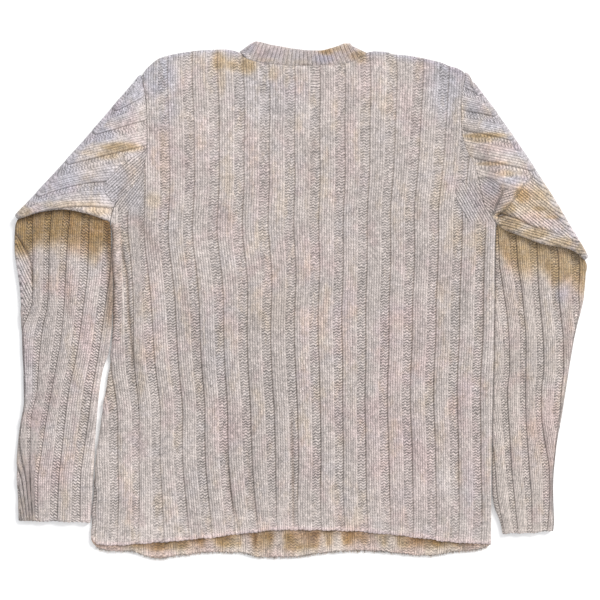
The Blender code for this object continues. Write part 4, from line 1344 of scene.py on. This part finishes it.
def wool_material(name, knit, yarn):
    """One piece's wool: its stitches knitted in heather yarn, dull with a slight sheen."""
    wool = WOOLS[name]
    material = bpy.data.materials.new(name + "_knit")
    material.use_nodes = True
    w = Wiring(material.node_tree)
    shader = material.node_tree.nodes[PRINCIPLED]
    set_inputs(shader, {"Roughness": 0.95, "Specular IOR Level": 0.2, "Sheen Weight": 0.22,
                        "Sheen Roughness": 0.6})
    place = w.place("ShaderNodeTexCoord").outputs["Object"]
    pattern = w.place("ShaderNodeGroup", node_tree=knit)
    w.feed(pattern.inputs["Stitches"], w.place("ShaderNodeUVMap", uv_map="knit").outputs[0])
    w.feed(pattern.inputs["Place"], place)
    set_inputs(pattern, {"Repeat": float(wool.repeat), "Purls": float(wool.purl_wales)})
    strand = w.place("ShaderNodeGroup", node_tree=yarn)
    w.feed(strand.inputs["Place"], place)
    w.feed(strand.inputs["Wool"], wool.colour)
    for output in ("Gap", "Purl", "Groove", "Crest", "Stitch"):
        w.feed(strand.inputs[output], pattern.outputs[output])
    for node, masks in ((pattern, ("Level", "Lean")),
                        (strand, ("Warm", "Cool", "Rosy", "Shade", "Worn", "Felt"))):
        for mask in masks:
            w.feed(node.inputs[mask], w.mask(mask.lower()))
    w.feed(shader.inputs["Base Color"], strand.outputs["Color"])
    bump = w.place("ShaderNodeBump")
    set_inputs(bump, {"Strength": 1.0, "Distance": wool.relief * MM})
    w.feed(bump.inputs["Height"],
           w.scaled(strand.outputs["Fibre"], 0.35, pattern.outputs["Height"]))
    w.feed(shader.inputs["Normal"], bump.outputs["Normal"])
    return material


# ---------------------------------------------------------------- the garment
def dress():
    """The five knitted pieces, each in its own wool and in the place of its plain solid."""
    knit, yarn = knit_group(), yarn_group()
    wool = {name: wool_material(name, knit, yarn) for name in WOOLS}
    back = back_piece(wool["wool_back"])
    front = front_piece(wool["wool_front"])
    left = sleeve_piece(LEFT, "ribbed_sleeve_left", wool["wool_sleeve_left"])
    right = sleeve_piece(RIGHT, "ribbed_sleeve_right", wool["wool_sleeve_right"])
    band = neckband_piece(wool["wool_neckband"])
    for piece, node, slot in (
            (back, "back_panel", "wool_back"), (front, "front_panel", "wool_front"),
            (left, "sleeve_left", "wool_sleeve_left"),
            (right, "sleeve_right", "wool_sleeve_right"), (band, "neckband", "wool_neckband")):
        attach(piece, "root")
        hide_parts(node)


# ---------------------------------------------------------------- studio
VIEW_WIDTH = 0.822       # width of the table that the camera takes in
VIEW_LENS, VIEW_SENSOR = 100.0, 36.0
VIEW_CENTRE = (0.0, -0.0007)
FLOOR_SIZE, FLOOR_Z = 16.0, -0.0004      # its top lies just under the cloth


def studio():
    """A white floor, pale light all round, one broad lamp, and the camera right above."""
    bpy.ops.object.select_all(action="DESELECT")
    bpy.ops.mesh.primitive_plane_add(size=FLOOR_SIZE, location=(0, 0, FLOOR_Z))
    floor = bpy.context.object
    floor.name = floor.data.name = "floor"
    paper = bpy.data.materials.new("white_paper")
    paper.use_nodes = True
    set_inputs(paper.node_tree.nodes[PRINCIPLED], {
        "Base Color": (0.95, 0.95, 0.95, 1), "Roughness": 0.9, "Specular IOR Level": 0.0,
        "Emission Color": (1.0, 1.0, 1.0, 1), "Emission Strength": 0.12})
    floor.data.materials.append(paper)

    world = bpy.data.worlds.new("studio_world")
    world.use_nodes = True
    set_inputs(world.node_tree.nodes["Background"],
               {"Color": (0.97, 0.98, 1.0, 1), "Strength": 0.80})
    bpy.context.scene.world = world

    key = bpy.data.lights.new("window_light", "SUN")
    key.energy = 2.7
    key.angle = math.radians(24)
    key.color = (1.0, 0.99, 0.97)
    lamp = bpy.data.objects.new("window_light", key)
    lamp.rotation_euler = (math.radians(-35), math.radians(45), 0)
    bpy.context.scene.collection.objects.link(lamp)

    view = bpy.data.cameras.new("view")
    view.lens = VIEW_LENS
    view.sensor_width = VIEW_SENSOR
    camera = bpy.data.objects.new("view", view)
    camera.location = (*VIEW_CENTRE, VIEW_WIDTH * VIEW_LENS / VIEW_SENSOR + BACK_Z * MM)
    bpy.context.scene.collection.objects.link(camera)
    bpy.context.scene.camera = camera
    bpy.context.scene.view_settings.view_transform = "Standard"


studio()
dress()
